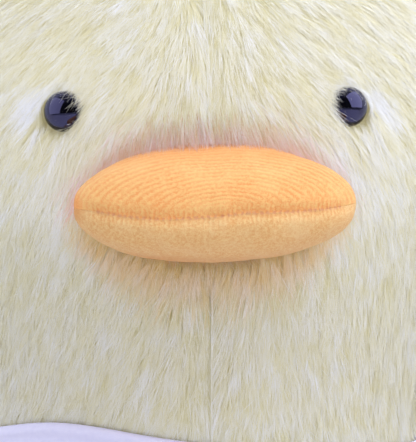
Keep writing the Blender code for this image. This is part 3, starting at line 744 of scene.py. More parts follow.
def head_fall(places, normals, side):
    """The way the head's nap lies: down from the parting and outward, and back at the crown's whorl."""
    x, y, z = places.T
    front = between(-normals[:, 1], -0.2, 0.4)
    spread = between(np.abs(x), 0, PARTING_HALF_WIDTH)
    lean = np.interp(z, LEAN_LEVELS, np.radians(LEAN_DEGREES)) * spread * side
    drift = -FACE_DRIFT * between(z, CHEEK_LEVEL, CHIN_LEVEL)
    chin_part = np.exp(-(x / CHIN_PART_SPREAD) ** 2) * between(z, bill_root_level, CHIN_LEVEL)
    drift -= CHIN_PART_TURN * side * chin_part
    fall = leaned(along_down(normals), normals, (lean + drift) * front + (1 - front) * lean * 0.4)
    whorl = between(np.hypot(x, y - HEAD_BACK_SHIFT), WHORL_REACH, 4 * MM)[:, None]
    return flow(normals, fall * (1 - whorl) + np.array([0.25, 1.0, 0]) * whorl)


def painted_bill_bounce_shade(across, z, bill_gap, upward):
    """Painted light and shade from the bill on the pile beside it: orange painted shade and bounce below the
    bill, above 0; pink painted bounce light over it, below 0.
    """
    below = np.clip((bill_root_level - z) / (20 * MM), 0, 1)
    below *= between(across, 46 * MM, 14 * MM)
    orange = 1.8 * np.exp(-bill_gap / (0.16 + 0.6 * below)) * (1 - upward)
    orange *= 1 - 0.55 * between(across, 42 * MM, 52 * MM)
    pink = 3.8 * (1 - 0.8 * between(across, 40 * MM, 52 * MM))
    pink *= np.exp(-bill_gap / (0.3 + 0.55 * between(across, 48 * MM, 16 * MM))) * upward
    return orange - pink


def note_head_pile(cover, side, eye):
    """Notes how the head's pile grows, on the face, round the eye and the bill, and at the crown."""
    places, normals = points_of(cover)
    x, y, z = places.T
    ahead_of_middle = y < 0
    above_root = z > bill_root_level
    fall = head_fall(places, normals, side)

    def in_eye(spots):
        return np.linalg.norm(spots - eye, axis=1) < EYE_RADIUS

    def in_bill(spots):
        return (bill_root_fill(spots[:, 0], spots[:, 2]) < 1) & (spots[:, 1] < 0)

    # A strand stops at the eye. At the bill it bends outward, and laps a little over the root.
    to_bill = steps_until(places, fall, in_bill)
    free = np.minimum(steps_until(places, fall, in_eye), to_bill + np.where(above_root, *BILL_LAPS))
    bend = np.stack([0.3 * x / BILL_HALF_WIDTH, np.full(len(x), -1.0), np.zeros(len(x))], 1)

    # Nothing grows behind the bill or under the eye.
    root_fill = bill_root_fill(x, z)
    bill_gap = np.maximum(root_fill - 1, 0)
    from_eye = places - eye
    eye_gap = np.linalg.norm(from_eye, axis=1)
    behind_bill = (root_fill < np.where(above_root, *ROOT_SHOWN_SHARES)) & ahead_of_middle
    bare = (eye_gap < EYE_RADIUS) | behind_bill

    # The face has finer, closer pile than the rest, closest under the bill and each eye.
    past_eye = (from_eye * fall).sum(1)
    beside = np.linalg.norm(from_eye - fall * past_eye[:, None], axis=1)
    lee = between(past_eye, 3 * MM, 7 * MM) * between(past_eye, 18 * MM, 9 * MM)
    lee *= between(beside, 9 * MM, 6 * MM)
    under_bill = between(bill_gap, 0.9, 0.1) * (z < bill_root_level) * ahead_of_middle
    face = between(FACE_HALF_WIDTH - np.abs(x), 0, FACE_FADE) * between(-y, 10 * MM, 30 * MM)
    face *= between(z, FACE_BOTTOM, FACE_BOTTOM + FACE_FADE)
    face = np.where(bare, 0, face * between(FACE_TOP - z, 0, FACE_FADE))
    face *= 1 + 1.2 * under_bill + 1.5 * lee
    from_crown = np.hypot(x, y - HEAD_BACK_SHIFT)
    rest = np.where(bare, 0, np.maximum(1 - face, 0)) * (1 + 2.5 * between(from_crown, 26 * MM, 12 * MM))
    high = between(z, FACE_DIVIDE - 4 * MM, FACE_DIVIDE + 4 * MM)
    ahead = between(y, 5 * MM, -5 * MM)

    # It lies flat at the seam, under the cloth and at the crown, and stands up past the eye and the bill.
    upward = between(z, bill_root_level + 2 * MM, bill_root_level + 12 * MM)
    near_top = upward * np.exp(-(bill_gap / 1.3) ** 2) * ahead_of_middle
    tucked = between(z, NECK_LEVEL + 24 * MM, NECK_LEVEL + 12 * MM) * (1 - np.minimum(face, 1))
    lift = 1 - SEAM_FLATTENING * np.exp(-(x / SEAM_HALF_WIDTH) ** 2) * high
    lift = lift * (1 + 0.3 * lee) * (1 - TUCKED_FLATTENING * tucked)
    lift *= 1 - 0.25 * between(from_crown, CROWN_REACH, 12 * MM)
    reach = HEAD_PILE_REACH * (1 - 0.45 * between(from_crown, 22 * MM, 10 * MM))
    reach = reach * (1 - 0.3 * under_bill) * (1 + 0.3 * near_top)
    past_stand = between(past_eye, -1 * MM, 4 * MM) * between(eye_gap, 20 * MM, 11 * MM)
    crown_stand = between(from_crown, CROWN_REACH, 8 * MM)

    # It is palest in an arc over the eye's outer side. Near the bill it carries painted light: paler above
    # the bill's top and under it, and the bill's painted bounce light and shade, pink above and orange below.
    outer_up = between((from_eye @ (side * 0.5, 0.2, 0.82)) / eye_gap, 0.2, 0.85)
    pale = outer_up * np.exp(-((eye_gap - 12 * MM) / (3.2 * MM)) ** 2)
    bounce_shade = painted_bill_bounce_shade(np.abs(x), z, bill_gap, upward)
    note_pile(
        cover, fall, reach=reach, lift=lift,
        pale=pale + 0.4 * near_top + 0.25 * under_bill,
        warm=bounce_shade * ahead_of_middle, tipped_up=0.14 * near_top,
        stand=np.maximum.reduce([0.8 * past_stand, 0.4 * near_top, 0.4 * crown_stand]),
        stop=np.where(free < SEARCH_REACH, free, 1.0),
        bend_at=np.where(to_bill < SEARCH_REACH, to_bill, 1.0),
        bend=bend / np.linalg.norm(bend, axis=1, keepdims=True),
        brow=face * high, chin=face * (1 - high), side=rest * ahead, back=rest * (1 - ahead),
    )


def note_body_pile(cover, side):
    """Notes how the body's pile grows: down and outward, and flat under a wing and the cloth."""
    places, normals = points_of(cover)
    x, y, z = places.T
    lean = BODY_LEAN * between(np.abs(x), 0, 40 * MM) * side * between(-normals[:, 1], -0.6, 0.4)
    fall = leaned(along_down(normals), normals, lean)
    off_wing = np.hypot((y - WING_PLACE[0]) / WING_SPAN[0], (z - WING_PLACE[1]) / WING_SPAN[1])
    under_wing = between(off_wing, 1.1, 0.9) * (np.abs(x) > 60 * MM)
    off_front = np.arccos(np.clip(-y / np.hypot(x, y), -1, 1)) / CLOTH_POINT_SPREAD
    cloth_low = NECK_LEVEL - CLOTH_DROP - CLOTH_POINT_DROP * np.maximum(0, 1 - off_front)
    tucked = np.maximum(under_wing, between(z, cloth_low - 12 * MM, cloth_low - 3 * MM))
    seam = SEAM_FLATTENING * np.exp(-(x / SEAM_HALF_WIDTH) ** 2)
    note_pile(
        cover, fall, reach=BODY_PILE_REACH, rest=1.0,
        lift=(1 - seam) * (1 - TUCKED_FLATTENING * tucked),
        stop=np.maximum(z - 1 * MM, 0.5 * MM) / np.maximum(-fall[:, 2], 0.3),
    )


fibre = pile_material()
backing = backing_material()
for word, side in SIDES.items():
    head = covers["head", word]
    eye = np.array(torso_front(side * EYE_SPREAD, EYE_LEVEL, SKIN))
    note_head_pile(head, side, eye)
    room = {"Eye": tuple(eye), "Eye Side": tuple(Vector((side, 0.35, 0.1)).normalized())}
    fur_piece(f"head_{word}_brow_pile", head, "brow", "torso", 3, **room)
    fur_piece(f"head_{word}_chin_pile", head, "chin", "torso", 4, **room)
    hull = {"Density": HEAD_HULL_DENSITY, **HULL_PILE, **room}
    fur_piece(f"head_{word}_side_pile", head, "side", "torso", 5, **hull)
    fur_piece(f"head_{word}_back_pile", head, "back", "torso", 6, **hull)
    pad(head, "torso", f"head_{word}_panel", backing, BACKING)

    body = covers["body", word]
    note_body_pile(body, side)
    fur_piece(f"body_{word}_pile", body, "rest", "torso", 7, Density=BODY_HULL_DENSITY, **HULL_PILE)
    pad(body, "torso", f"body_{word}_panel", backing, BACKING)


# Bill. It is two panels of knitted velour, orange above and paler below, stuffed and sewn together
# along the rim in a seam that puckers the cloth. Its root is sewn into the face.

BILL_WIDEST_SHARE = 0.4
BILL_PLAN_POWER = 2.1
BILL_SIDE_POWER = 2.3
BILL_ROOT_DEPTH = 7 * MM
BILL_ROWS = 84
BILL_COLUMNS = 200
KNIT_PITCH = 1.05 * MM
GATHER_PITCH = 1.7 * MM
DASH_PITCH = 2.3 * MM
SEAM_DASH = (0.72, 0.3, 0.18, 1)
RIM_SAMPLES = 600
RIM_WAVE_X = [v * MM for v in (-50, -45, -32, -21, -3, 8, 19, 34, 48)]
RIM_WAVE_Z = [v * MM for v in (0.8, 0.9, -0.7, -1.4, -0.6, 0.5, 0.4, 0.4, 0.8)]
PUCKERS = ((1.0, 2.1 * MM, 0.0), (0.7, 1.27 * MM, 1.1), (0.5, 3.9 * MM, 0.0))
PUCKER_DEPTH = 0.2 * MM
PINCH_DEPTHS = (1.0 * MM, 0.5 * MM)
SWELL_DEPTHS = (0.5 * MM, 0.14 * MM)
VELOUR_DEPTH = 1.3 * MM
bill_seat = torso_front(0, bill_root_level, SKIN).y


def bill_rim(reach):
    """Height of the seam at a distance from the bill's root."""
    return BILL_TIP_LEVEL + BILL_DROOP_SHARE * (BILL_REACH - reach)


def bill_plan(reach):
    """The bill's half-width at a distance from its root."""
    widest = BILL_REACH * BILL_WIDEST_SHARE
    before = BILL_ROOT_WIDTH_SHARE + (1 - BILL_ROOT_WIDTH_SHARE) * ease(reach / widest)
    past = fullness((reach - widest) / (BILL_REACH - widest), BILL_PLAN_POWER)
    return BILL_HALF_WIDTH * np.where(reach < widest, before, past)


def bumps(places, size, seed):
    """Smooth noise from -1 to 1 at each place, with swells of about a size."""
    offset = Vector((seed * 3.7, seed * 1.3, -seed * 2.1))
    return np.array([noise.noise(Vector(place) / size + offset) for place in places])


def moved(piece, shift):
    """Moves a piece's vertices by an array of vectors."""
    places, _ = points_of(piece)
    piece.data.vertices.foreach_set("co", (places + shift).astype(np.float32).ravel())
    piece.data.update()


def lofted_length(rows):
    """Length along the middle column of a grid up to each row."""
    middle = rows[:, rows.shape[1] // 2]
    steps = np.linalg.norm(np.diff(middle, axis=0), axis=1)
    return np.concatenate([[0], np.cumsum(steps)])


rim_reach = BILL_REACH * np.sin(np.linspace(0, pi / 2, RIM_SAMPLES))
half_rim = np.stack([bill_plan(rim_reach), bill_seat - rim_reach, bill_rim(rim_reach)], 1)
rim_line = np.concatenate([half_rim * (-1, 1, 1), half_rim[::-1]])
rim_length = np.concatenate([[0], np.cumsum(np.linalg.norm(np.diff(rim_line, axis=0), axis=1))])


def near_rim(places):
    """Each place's distance to the bill's rim, and how far along the rim it is."""
    nearest = np.empty(len(places), int)
    for first in range(0, len(places), 1000):
        gaps = places[first:first + 1000, None] - rim_line[None]
        nearest[first:first + 1000] = np.argmin((gaps ** 2).sum(2), axis=1)
    return np.linalg.norm(places - rim_line[nearest], axis=1), rim_length[nearest]


def bill_relief(places, normals, gap, along, sewn, facing):
    """How far filling and seam move a panel's points: swells, a pinch along the rim, and its puckers."""
    wave = 0.0
    for size, pitch, start in PUCKERS:
        wave = wave + size * np.sin(along / pitch + start)
    wave += 0.6 * np.sin(along / (0.62 * MM) + 2 * np.sin(along / (3 * MM)))
    pinch = PINCH_DEPTHS[0] * np.exp(-(gap / (2.4 * MM)) ** 2) + PINCH_DEPTHS[1] * np.exp(-gap / (5 * MM))
    pucker = PUCKER_DEPTH * wave * np.exp(-gap / (4 * MM)) * between(gap, 0, 1 * MM) * sewn
    swell = SWELL_DEPTHS[0] * bumps(places, 14 * MM, 3 + facing)
    swell += SWELL_DEPTHS[1] * bumps(places, 4 * MM, 7)
    outward = normals * np.stack([np.ones(len(gap)), np.ones(len(gap)), between(gap, 0, 2 * MM)], 1)
    outward /= np.maximum(np.linalg.norm(outward, axis=1, keepdims=True), 0.1)
    shift = outward * (swell * between(gap, 0, 6 * MM) + pucker - pinch * sewn)[:, None]
    wander = np.interp(places[:, 0], RIM_WAVE_X, RIM_WAVE_Z) * np.exp(-gap / (9 * MM))
    shift[:, 2] += wander * between(bill_seat - places[:, 1], 0, 14 * MM)
    return shift * between(bill_seat - places[:, 1], -BILL_ROOT_DEPTH, 4 * MM)[:, None]


def bill_panel(name, facing):
    """One panel, from its root forward to the tip. facing is 1 above the rim and -1 below it."""
    curve = BILL_REACH * np.sin(np.linspace(0, pi / 2, BILL_ROWS))[:-1]
    turns = np.linspace(0, pi, BILL_COLUMNS)
    rise = BILL_UPPER_RISE if facing > 0 else BILL_LOWER_DROP
    rows = []
    for reach in [-BILL_ROOT_DEPTH, -BILL_ROOT_DEPTH / 2, *curve]:
        width = float(bill_plan(reach))
        x = facing * width * round_power(np.cos(turns), BILL_SECTION_POWER)
        lift = rise * fullness(reach / BILL_REACH, BILL_SIDE_POWER)
        z = bill_rim(reach) + facing * lift * round_power(np.sin(turns), BILL_SECTION_POWER)
        rows.append(np.stack([x, np.full(len(x), bill_seat - reach), z], 1))
    rows = np.array(rows)
    panel = surface(name, rows, end=(0, bill_seat - BILL_REACH, bill_rim(BILL_REACH)))
    places, normals = points_of(panel)
    x, y, z = places.T
    root = bill_seat - y
    gap, along = near_rim(places)
    sewn = 0.15 + 0.85 * between(np.abs(x), BILL_HALF_WIDTH, BILL_HALF_WIDTH - 7 * MM)

    # The knit's rows run across the panel, and bend round towards its sides.
    from_root = np.repeat(lofted_length(rows), BILL_COLUMNS)
    from_root = np.append(from_root, from_root[-1] + KNIT_PITCH)
    off_rim = np.maximum(facing * (z - bill_rim(root)), 0) / rise
    out_share = np.abs(x / BILL_HALF_WIDTH) ** BILL_SECTION_POWER + off_rim ** BILL_SECTION_POWER
    knit_row = 0.225 * from_root + 0.55 * rise * (1 - out_share ** (1 / BILL_SECTION_POWER))

    # Painted shade: the nap is deeper in tone where it turns level, on top and underneath, and in the fold at
    # the bill's own left end.
    level_from = 0.86 if facing > 0 else 0.93
    turned = between(facing * normals[:, 2], level_from, 1) * 0.6
    if facing < 0:
        turned *= 0.5 + 0.7 * between(-x, 0, 30 * MM)
    fold = between(-normals[:, 0], 0.75, 0.97) * between(z, bill_root_level - 14 * MM, bill_root_level)
    turned = np.maximum(turned, 0.8 * fold * between(z, bill_root_level + 8 * MM, bill_root_level))

    moved(panel, bill_relief(places, normals, gap, along, sewn, facing))
    note(panel, "row", knit_row)
    note(panel, "rim", gap + (1 - sewn) * 9 * MM)
    note(panel, "along", along)
    note(panel, "root", root)
    note(panel, "turned", turned)
    return panel


def velour_material(name, colour, deep, bright, root_shade_colour, rows_depth):
    """Knitted velour: rows of short pile along the noted row, with painted shade deeper in colour between
    them, and painted shade at the root and where noted turned.
    """
    material, tree, shader = new_material(name)
    row, rim, along, root, turned = [noted_on(tree, v) for v in ("row", "rim", "along", "root", "turned")]
    broad, patch, fine, fuzz = [grain(tree, scale) for scale in (90.0, 330.0, 900.0, 2600.0)]
    wave = tree.work("SINE", row * (2 * pi / KNIT_PITCH) + (fine - 0.5) * 5.0 + (broad - 0.5) * 5.0) * 0.5
    rows = wave * rows_depth * tree.eased(rim, 1.5 * MM, 6 * MM) * tree.eased(patch, 0.25, 0.55)
    gathers = tree.work("SINE", along * (2 * pi / GATHER_PITCH) + (fine - 0.5) * 7.0) * 0.5
    gathers = gathers * tree.eased(rim, 5 * MM, 0.5 * MM) * tree.eased(patch, 0.35, 0.55)
    height = rows + (fuzz - 0.5) * 4.0 + (fine - 0.5) * 2.6 + gathers * 1.9
    # Painted shade: the colour deepens where the knit's height is low, between rows and in the gathers.
    tone = mixed(tree, tree.eased(height, -0.9, 0.8), (*deep, 1), (*colour, 1))
    tone = mixed(tree, tree.eased(broad, 0.4, 0.75) * 0.35, tone, (*bright, 1))
    ragged = rim + (fine - 0.5) * (5 * MM)
    tone = mixed(tree, tree.eased(ragged, 2.6 * MM, 0.4 * MM) * 0.45, tone, (*deep, 1))
    dashes = tree.eased(tree.work("SINE", along * (2 * pi / DASH_PITCH) + (fine - 0.5) * 9.0), -0.5, 0.5)
    tone = mixed(tree, tree.eased(rim, 0.9 * MM, 0.3 * MM) * dashes * 0.5, tone, SEAM_DASH)
    # Painted shade, deeper orange, near the root where the bill meets the face and where the noted turn is.
    painted_shade = tree.most(tree.eased(root, 8 * MM, 1 * MM) * 0.85, turned)
    tone = mixed(tree, painted_shade, tone, (*root_shade_colour, 1))
    finish_shader(
        tree, shader, Base_Color=tone, Roughness=0.85, Normal=relief(tree, height, 0.4, 0.35 * MM),
        Specular_IOR_Level=0.2, Sheen_Weight=0.1, Sheen_Roughness=0.5)
    return material


orange_velour = velour_material(
    "orange_velour", colour=(0.94, 0.55, 0.21), deep=(0.9, 0.37, 0.12), bright=(0.96, 0.63, 0.26),
    root_shade_colour=(0.92, 0.36, 0.1), rows_depth=1.3)
pale_velour = velour_material(
    "pale_velour", colour=(0.89, 0.59, 0.27), deep=(0.8, 0.39, 0.14), bright=(0.92, 0.65, 0.34),
    root_shade_colour=(0.72, 0.28, 0.07), rows_depth=0.1)
bill_upper = bill_panel("bill_upper_cover", 1)
pad(bill_upper, "torso", "bill_upper_panel", orange_velour, VELOUR_DEPTH)
bill_lower = bill_panel("bill_lower_cover", -1)
pad(bill_lower, "torso", "bill_lower_panel", pale_velour, VELOUR_DEPTH)


# Eyes. They are one-piece black safety eyes: a polished dome, a rim and a ribbed shank that goes
# through the backing, where a white toothed washer locks it.

EYE_HEIGHT = 7.4 * MM
EYE_RIM = 1.1 * MM
EYE_EDGE = 0.4 * MM
EYE_SEAT = 0.3 * MM
EYE_SIDES = 64
DOME_STEPS = 20
SHANK_RADIUS = 2.4 * MM
SHANK_LENGTH = 15 * MM
RIB_START = 5 * MM
RIB_PITCH = 2 * MM
RIB_LENGTH = 1.3 * MM
RIB_DEPTH = 0.4 * MM
RIB_COUNT = 5

gloss, gloss_tree, gloss_shader = new_material("black_eye_plastic")
# The specular tint paints a lavender cast into the lamps that the dome mirrors.
finish_shader(
    gloss_tree, gloss_shader, Roughness=gloss_tree.blend(grain(gloss_tree, 220.0, 3.0), 0.04, 0.09),
    Base_Color=(0.004, 0.004, 0.006, 1), Specular_IOR_Level=1.0, Specular_Tint=(0.33, 0.32, 0.7, 1), IOR=1.75)

profile = [(SHANK_RADIUS - RIB_DEPTH, -SHANK_LENGTH), (SHANK_RADIUS, RIB_DEPTH - SHANK_LENGTH)]
for rib in reversed(range(RIB_COUNT)):
    top = -RIB_START - rib * RIB_PITCH
    profile += [(SHANK_RADIUS + RIB_DEPTH, top - RIB_LENGTH), (SHANK_RADIUS, top)]
profile += [(SHANK_RADIUS, EYE_SEAT), (EYE_RADIUS - EYE_EDGE, EYE_SEAT), (EYE_RADIUS, EYE_SEAT + EYE_EDGE)]
for turn_by in np.linspace(pi / 2, 0, DOME_STEPS)[:-1]:
    profile.append((EYE_RADIUS * sin(turn_by), EYE_RIM + (EYE_HEIGHT - EYE_RIM) * cos(turn_by)))
around = np.linspace(0, 2 * pi, EYE_SIDES, endpoint=False)
eye_rows = []
for radius, height in profile:
    ring = [radius * np.cos(around), radius * np.sin(around), np.full(EYE_SIDES, height)]
    eye_rows.append(np.stack(ring, 1))

for word, side in SIDES.items():
    ends = {"start": (0, 0, -SHANK_LENGTH), "end": (0, 0, EYE_HEIGHT)}
    eye = surface(f"{word}_safety_eye", eye_rows, closed=True, **ends)
    outward = torso_normal(side * EYE_SPREAD, EYE_LEVEL, SKIN)
    seat = Matrix.Translation(torso_front(side * EYE_SPREAD, EYE_LEVEL, SKIN))
    eye.data.transform(seat @ outward.to_track_quat("Z", "Y").to_matrix().to_4x4())
    eye.data.materials.append(gloss)
    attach(eye, "torso")
    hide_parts(f"{word}_eye")


# Washers and filling. The washers are moulded from natural white plastic, and the filling is
# loose polyester fibre. Both are hidden inside the covers.

moulded, moulded_tree, moulded_shader = new_material("washer_plastic")
tone = mixed(moulded_tree, grain(moulded_tree, 900.0), (0.82, 0.82, 0.78, 1), (0.9, 0.9, 0.87, 1))
finish_shader(moulded_tree, moulded_shader, Base_Color=tone, Roughness=0.4)

filling, filling_tree, filling_shader = new_material("fibre_filling")
wad = grain(filling_tree, 180.0, 6.0)
tone = mixed(filling_tree, wad, (0.84, 0.84, 0.82, 1), (0.95, 0.95, 0.94, 1))
puff = relief(filling_tree, wad, 0.8, 1.5 * MM)
finish_shader(filling_tree, filling_shader, Base_Color=tone, Roughness=0.95, Normal=puff)

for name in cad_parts:
    inside = moulded if name.endswith("washer") else filling if name.endswith("stuffing") else None
    if inside:
        for slot in bpy.data.objects[name].material_slots:
            slot.material = inside


# Tail. It is a short fur cover over filling, open at the root, where it is sewn to the back of
# the body, and it points back and up.

TAIL_LEVEL = 62 * MM
TAIL_LENGTH = 46 * MM
TAIL_HALF_WIDTH = 33 * MM
TAIL_HALF_THICKNESS = 19 * MM
TAIL_TILT = radians(32)
TAIL_TIP_POWER = 1.7
TAIL_SKIN = -4.2 * MM
TAIL_ROOT_DEPTH = 12 * MM
TAIL_BARE_DEPTH = 8 * MM
TAIL_NAP_DROOP = np.array([0, 0, -0.35])
LIMB_COLUMNS = 64
LIMB_ROWS = 40
LIMB_DENSITY = 2.2e6
LIMB_PILE = {"Low": 2 * MM, "High": 7 * MM, "Width": 0.45 * MM, "Strays": 0.14, "Curl": 2 * MM}


def limb_angles():
    return np.linspace(0, 2 * pi, LIMB_COLUMNS, endpoint=False)


tail_root = Vector(torso_row(np.array([pi / 2]), TAIL_LEVEL, 0)[0])
tail_along = Vector((0, cos(TAIL_TILT), sin(TAIL_TILT)))
tail_over = Vector((0, -sin(TAIL_TILT), cos(TAIL_TILT)))
tail_reach = TAIL_LENGTH + TAIL_SKIN
tail_steps = tail_reach * np.sin(np.linspace(0, pi / 2, LIMB_ROWS))[:-1]
rows = []
for place in [-TAIL_ROOT_DEPTH, -TAIL_ROOT_DEPTH / 2, *tail_steps]:
    full = fullness(place / tail_reach, TAIL_TIP_POWER)
    x = (TAIL_HALF_WIDTH + TAIL_SKIN) * full * np.cos(limb_angles())
    lift = (TAIL_HALF_THICKNESS + TAIL_SKIN) * full * np.sin(limb_angles())
    middle = np.array(tail_root + tail_along * place)
    rows.append(middle + np.outer(lift, tail_over) + np.outer(-x, (1, 0, 0)))
tail = surface("tail_fur_cover", rows, closed=True, end=tail_root + tail_along * tail_reach)
places, normals = points_of(tail)
towards = np.array(tail_along) + TAIL_NAP_DROOP + np.outer(places[:, 0] / TAIL_HALF_WIDTH, (0.3, 0, 0))
on_tail = np.where(places[:, 1] > tail_root.y - TAIL_BARE_DEPTH, 1, 0)
note_pile(tail, flow(normals, towards), reach=13 * MM, rest=on_tail)
fur_piece("tail_pile", tail, "rest", "torso", 11, Density=LIMB_DENSITY, **LIMB_PILE)
pad(tail, "torso", "tail_cover", backing)


# Wings. Each is a flat stuffed pod of fur, sewn to the body's side along its shoulder only, so
# it lifts outward. Its inner side is shaped by the body that it lies on.

WING_HINGE_LEVEL = 104 * MM
WING_LENGTH = 84 * MM
WING_HALF_WIDTH = 36 * MM
WING_SWELL = 19 * MM
WING_SHOULDER_SHARE = 0.78
WING_SHOULDER_SWELL_SHARE = 0.6
WING_WIDEST_SHARE = 0.42
WING_TIP_POWER = 1.8
WING_SKIN = -4 * MM
WING_CLEARANCE = 1.2 * MM
WING_SEAT = 0.3 * MM
WING_SHOULDER_RUN = 16 * MM
WING_TOP_SHARE = 0.35
WING_ROOT_DEPTH = 8 * MM
WAD_INSET = 3 * MM
WAD_TOP_DROP = 8 * MM


def off_body(places, side, clear):
    """Moves places that are inside the body sideways until they stand clear of it."""
    spots = places.copy()
    for spot in spots:
        width, depth, shift = torso_section(spot[2], clear)
        reach = width * fullness(abs(spot[1] - shift) / depth, GIRTH_POWER)
        spot[0] = side * max(side * spot[0], reach)
    return spots


for word, side in SIDES.items():
    shoulder_width, _, shoulder_shift = torso_section(WING_HINGE_LEVEL, 0)
    shoulder = np.array([side * (shoulder_width + WING_SEAT), shoulder_shift, WING_HINGE_LEVEL])
    tilt = atan2(BODY_HALF_WIDTH - abs(shoulder[0]), WING_HINGE_LEVEL - BODY_LEVEL)
    along = np.array([side * sin(tilt), 0, -cos(tilt)])
    outward = np.array([side * cos(tilt), 0, sin(tilt)])

    def wing_form(name, skin, top):
        """The wing, shaped by the body, and how far each of its points faced outward before that."""
        reach = WING_LENGTH + skin
        widest = reach * WING_WIDEST_SHARE
        rows = []
        for place in [-WING_ROOT_DEPTH, *(reach * np.sin(np.linspace(0, pi / 2, LIMB_ROWS))[:-1])]:
            swell = ease(place / widest)
            plan = WING_SHOULDER_SHARE + (1 - WING_SHOULDER_SHARE) * swell
            if place > widest:
                plan = fullness((place - widest) / (reach - widest), WING_TIP_POWER)
            full = fullness(place / reach, CROWN_POWER) - (1 - WING_SHOULDER_SWELL_SHARE) * (1 - swell)
            full *= WING_TOP_SHARE + (1 - WING_TOP_SHARE) * ease(place / WING_SHOULDER_RUN)
            y = (WING_HALF_WIDTH + skin) * plan * np.cos(limb_angles())
            lift = (WING_SWELL + skin) * full * np.sin(limb_angles())
            rows.append(shoulder + along * place + np.outer(lift, outward) + np.outer(side * y, (0, 1, 0)))
        form = surface(name, rows, closed=True, start=rows[0].mean(0), end=shoulder + along * reach)
        places, normals = points_of(form)
        spots = places.copy()
        spots[:, 2] = np.minimum(spots[:, 2], top)
        spots = off_body(spots, side, WING_CLEARANCE + (WING_SKIN - skin) / 3)
        moved(form, spots - places)
        return form, normals @ outward

    wing, outside = wing_form(f"{word}_wing_fur_cover", WING_SKIN, WING_HINGE_LEVEL - 0.5 * MM)
    wad, _ = wing_form(f"{word}_wing_wad", WING_SKIN - WAD_INSET, WING_HINGE_LEVEL - WAD_TOP_DROP)
    places, normals = points_of(wing)
    towards = along + np.outer(places[:, 1] / WING_HALF_WIDTH, (0, 0.5, 0))
    out_share = between(outside, -0.25, 0.15)
    from_tip = WING_LENGTH + WING_SKIN - (places - shoulder) @ along
    wing_reach = 14 * MM * (0.5 + 0.5 * between(from_tip, -2 * MM, 16 * MM))
    note_pile(wing, flow(normals, towards), reach=wing_reach, lift=0.5 + 0.5 * out_share, rest=out_share)
    fur_piece(f"{word}_wing_pile", wing, "rest", f"{word}_wing", 13, Density=LIMB_DENSITY, **LIMB_PILE)
    pad(wing, f"{word}_wing", f"{word}_wing_cover", backing)
    pad(wad, f"{word}_wing", f"{word}_wing_stuffing", filling)


# Feet. Each is a stuffed, webbed foot of two velour panels, sewn round the edge and drawn in
# between its three toes by two lines of stitches. It is sewn to the body along its heel.

FOOT_SPREAD = 44 * MM
FOOT_LENGTH = 58 * MM
FOOT_HEEL_INSET = 14 * MM
FOOT_HALF_WIDTH = 31 * MM
FOOT_THICKNESS = 19 * MM
FOOT_SOLE_FLAT = 0.5 * MM
FOOT_WEB_DEPTH = 3.2 * MM
FOOT_EDGE_POWER = 2.6
FOOT_COLUMNS = 168
FOOT_ROWS = 30
FOOT_WAD_INSET = 8 * MM
FOOT_WAD_THINNING = 3.8 * MM
FOOT_SEAT = 0.3 * MM
FOOT_PLAIN = 20 * MM
TOE_LINE_SHARE = 0.52
TOE_GROOVE = 2.2 * MM
SOLE_GROOVE = 0.4 * MM
SEAM_GROOVE = 1.1 * MM
THREAD_RISE = 0.25 * MM
foot_half_length = (FOOT_LENGTH + FOOT_HEEL_INSET) / 2
foot_half_thickness = (FOOT_THICKNESS + FOOT_SOLE_FLAT) / 2
foot_level = foot_half_thickness - FOOT_SOLE_FLAT - FOOT_THICKNESS
foot_middle = np.array([0, foot_half_length - FOOT_LENGTH, foot_level])


def stitch_tree():
    """Short rounded stitches along a line of edges."""
    group = bpy.data.node_groups.new("stitches", "GeometryNodeTree")
    group.interface.new_socket("Line", in_out="INPUT", socket_type="NodeSocketGeometry")
    for name, value in (("Pitch", 3 * MM), ("Length", 1.8 * MM), ("Radius", 0.3 * MM)):
        socket = group.interface.new_socket(name, in_out="INPUT", socket_type="NodeSocketFloat")
        socket.default_value = value
    group.interface.new_socket("Material", in_out="INPUT", socket_type="NodeSocketMaterial")
    group.interface.new_socket("Stitches", in_out="OUTPUT", socket_type="NodeSocketGeometry")
    tree = Tree(group)
    given = {s.name: Wire(tree, s) for s in group.nodes.new("NodeGroupInput").outputs if s.name}
    line = tree.node("GeometryNodeMeshToCurve", {"Mesh": given["Line"]})
    sockets = {"Curve": line, "Length": given["Pitch"]}
    spots = tree.node("GeometryNodeCurveToPoints", sockets, out=("Points", "Rotation"), mode="LENGTH")
    ball = tree.node("GeometryNodeMeshUVSphere", {"Segments": 8, "Rings": 6, "Radius": 1.0}, out="Mesh")
    half_length = given["Length"] * 0.5
    size = tree.node("ShaderNodeCombineXYZ", {0: given["Radius"], 1: given["Radius"], 2: half_length})
    sockets = {"Points": spots[0], "Instance": ball, "Rotation": spots[1], "Scale": size}
    row = tree.node("GeometryNodeInstanceOnPoints", sockets)
    row = tree.node("GeometryNodeRealizeInstances", {"Geometry": row})
    row = tree.node("GeometryNodeSetShadeSmooth", {"Geometry": row, "Shade Smooth": True})
    row = tree.node("GeometryNodeSetMaterial", {"Geometry": row, "Material": given["Material"]})
    group.links.new(row.socket, group.nodes.new("NodeGroupOutput").inputs[0])
    return group


stitch_group = stitch_tree()


def stitch(name, points, body, slot, material, **sizes):
    """A row of stitches through points."""
    mesh = bpy.data.meshes.new(name)
    mesh.from_pydata([tuple(p) for p in points], [(k, k + 1) for k in range(len(points) - 1)], [])
    line = show(f"{name}_line", mesh)
    row = show(name, made_by(stitch_group, name, line, {"Material": material, **sizes}))
    bpy.data.objects.remove(line)
    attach(row, body)


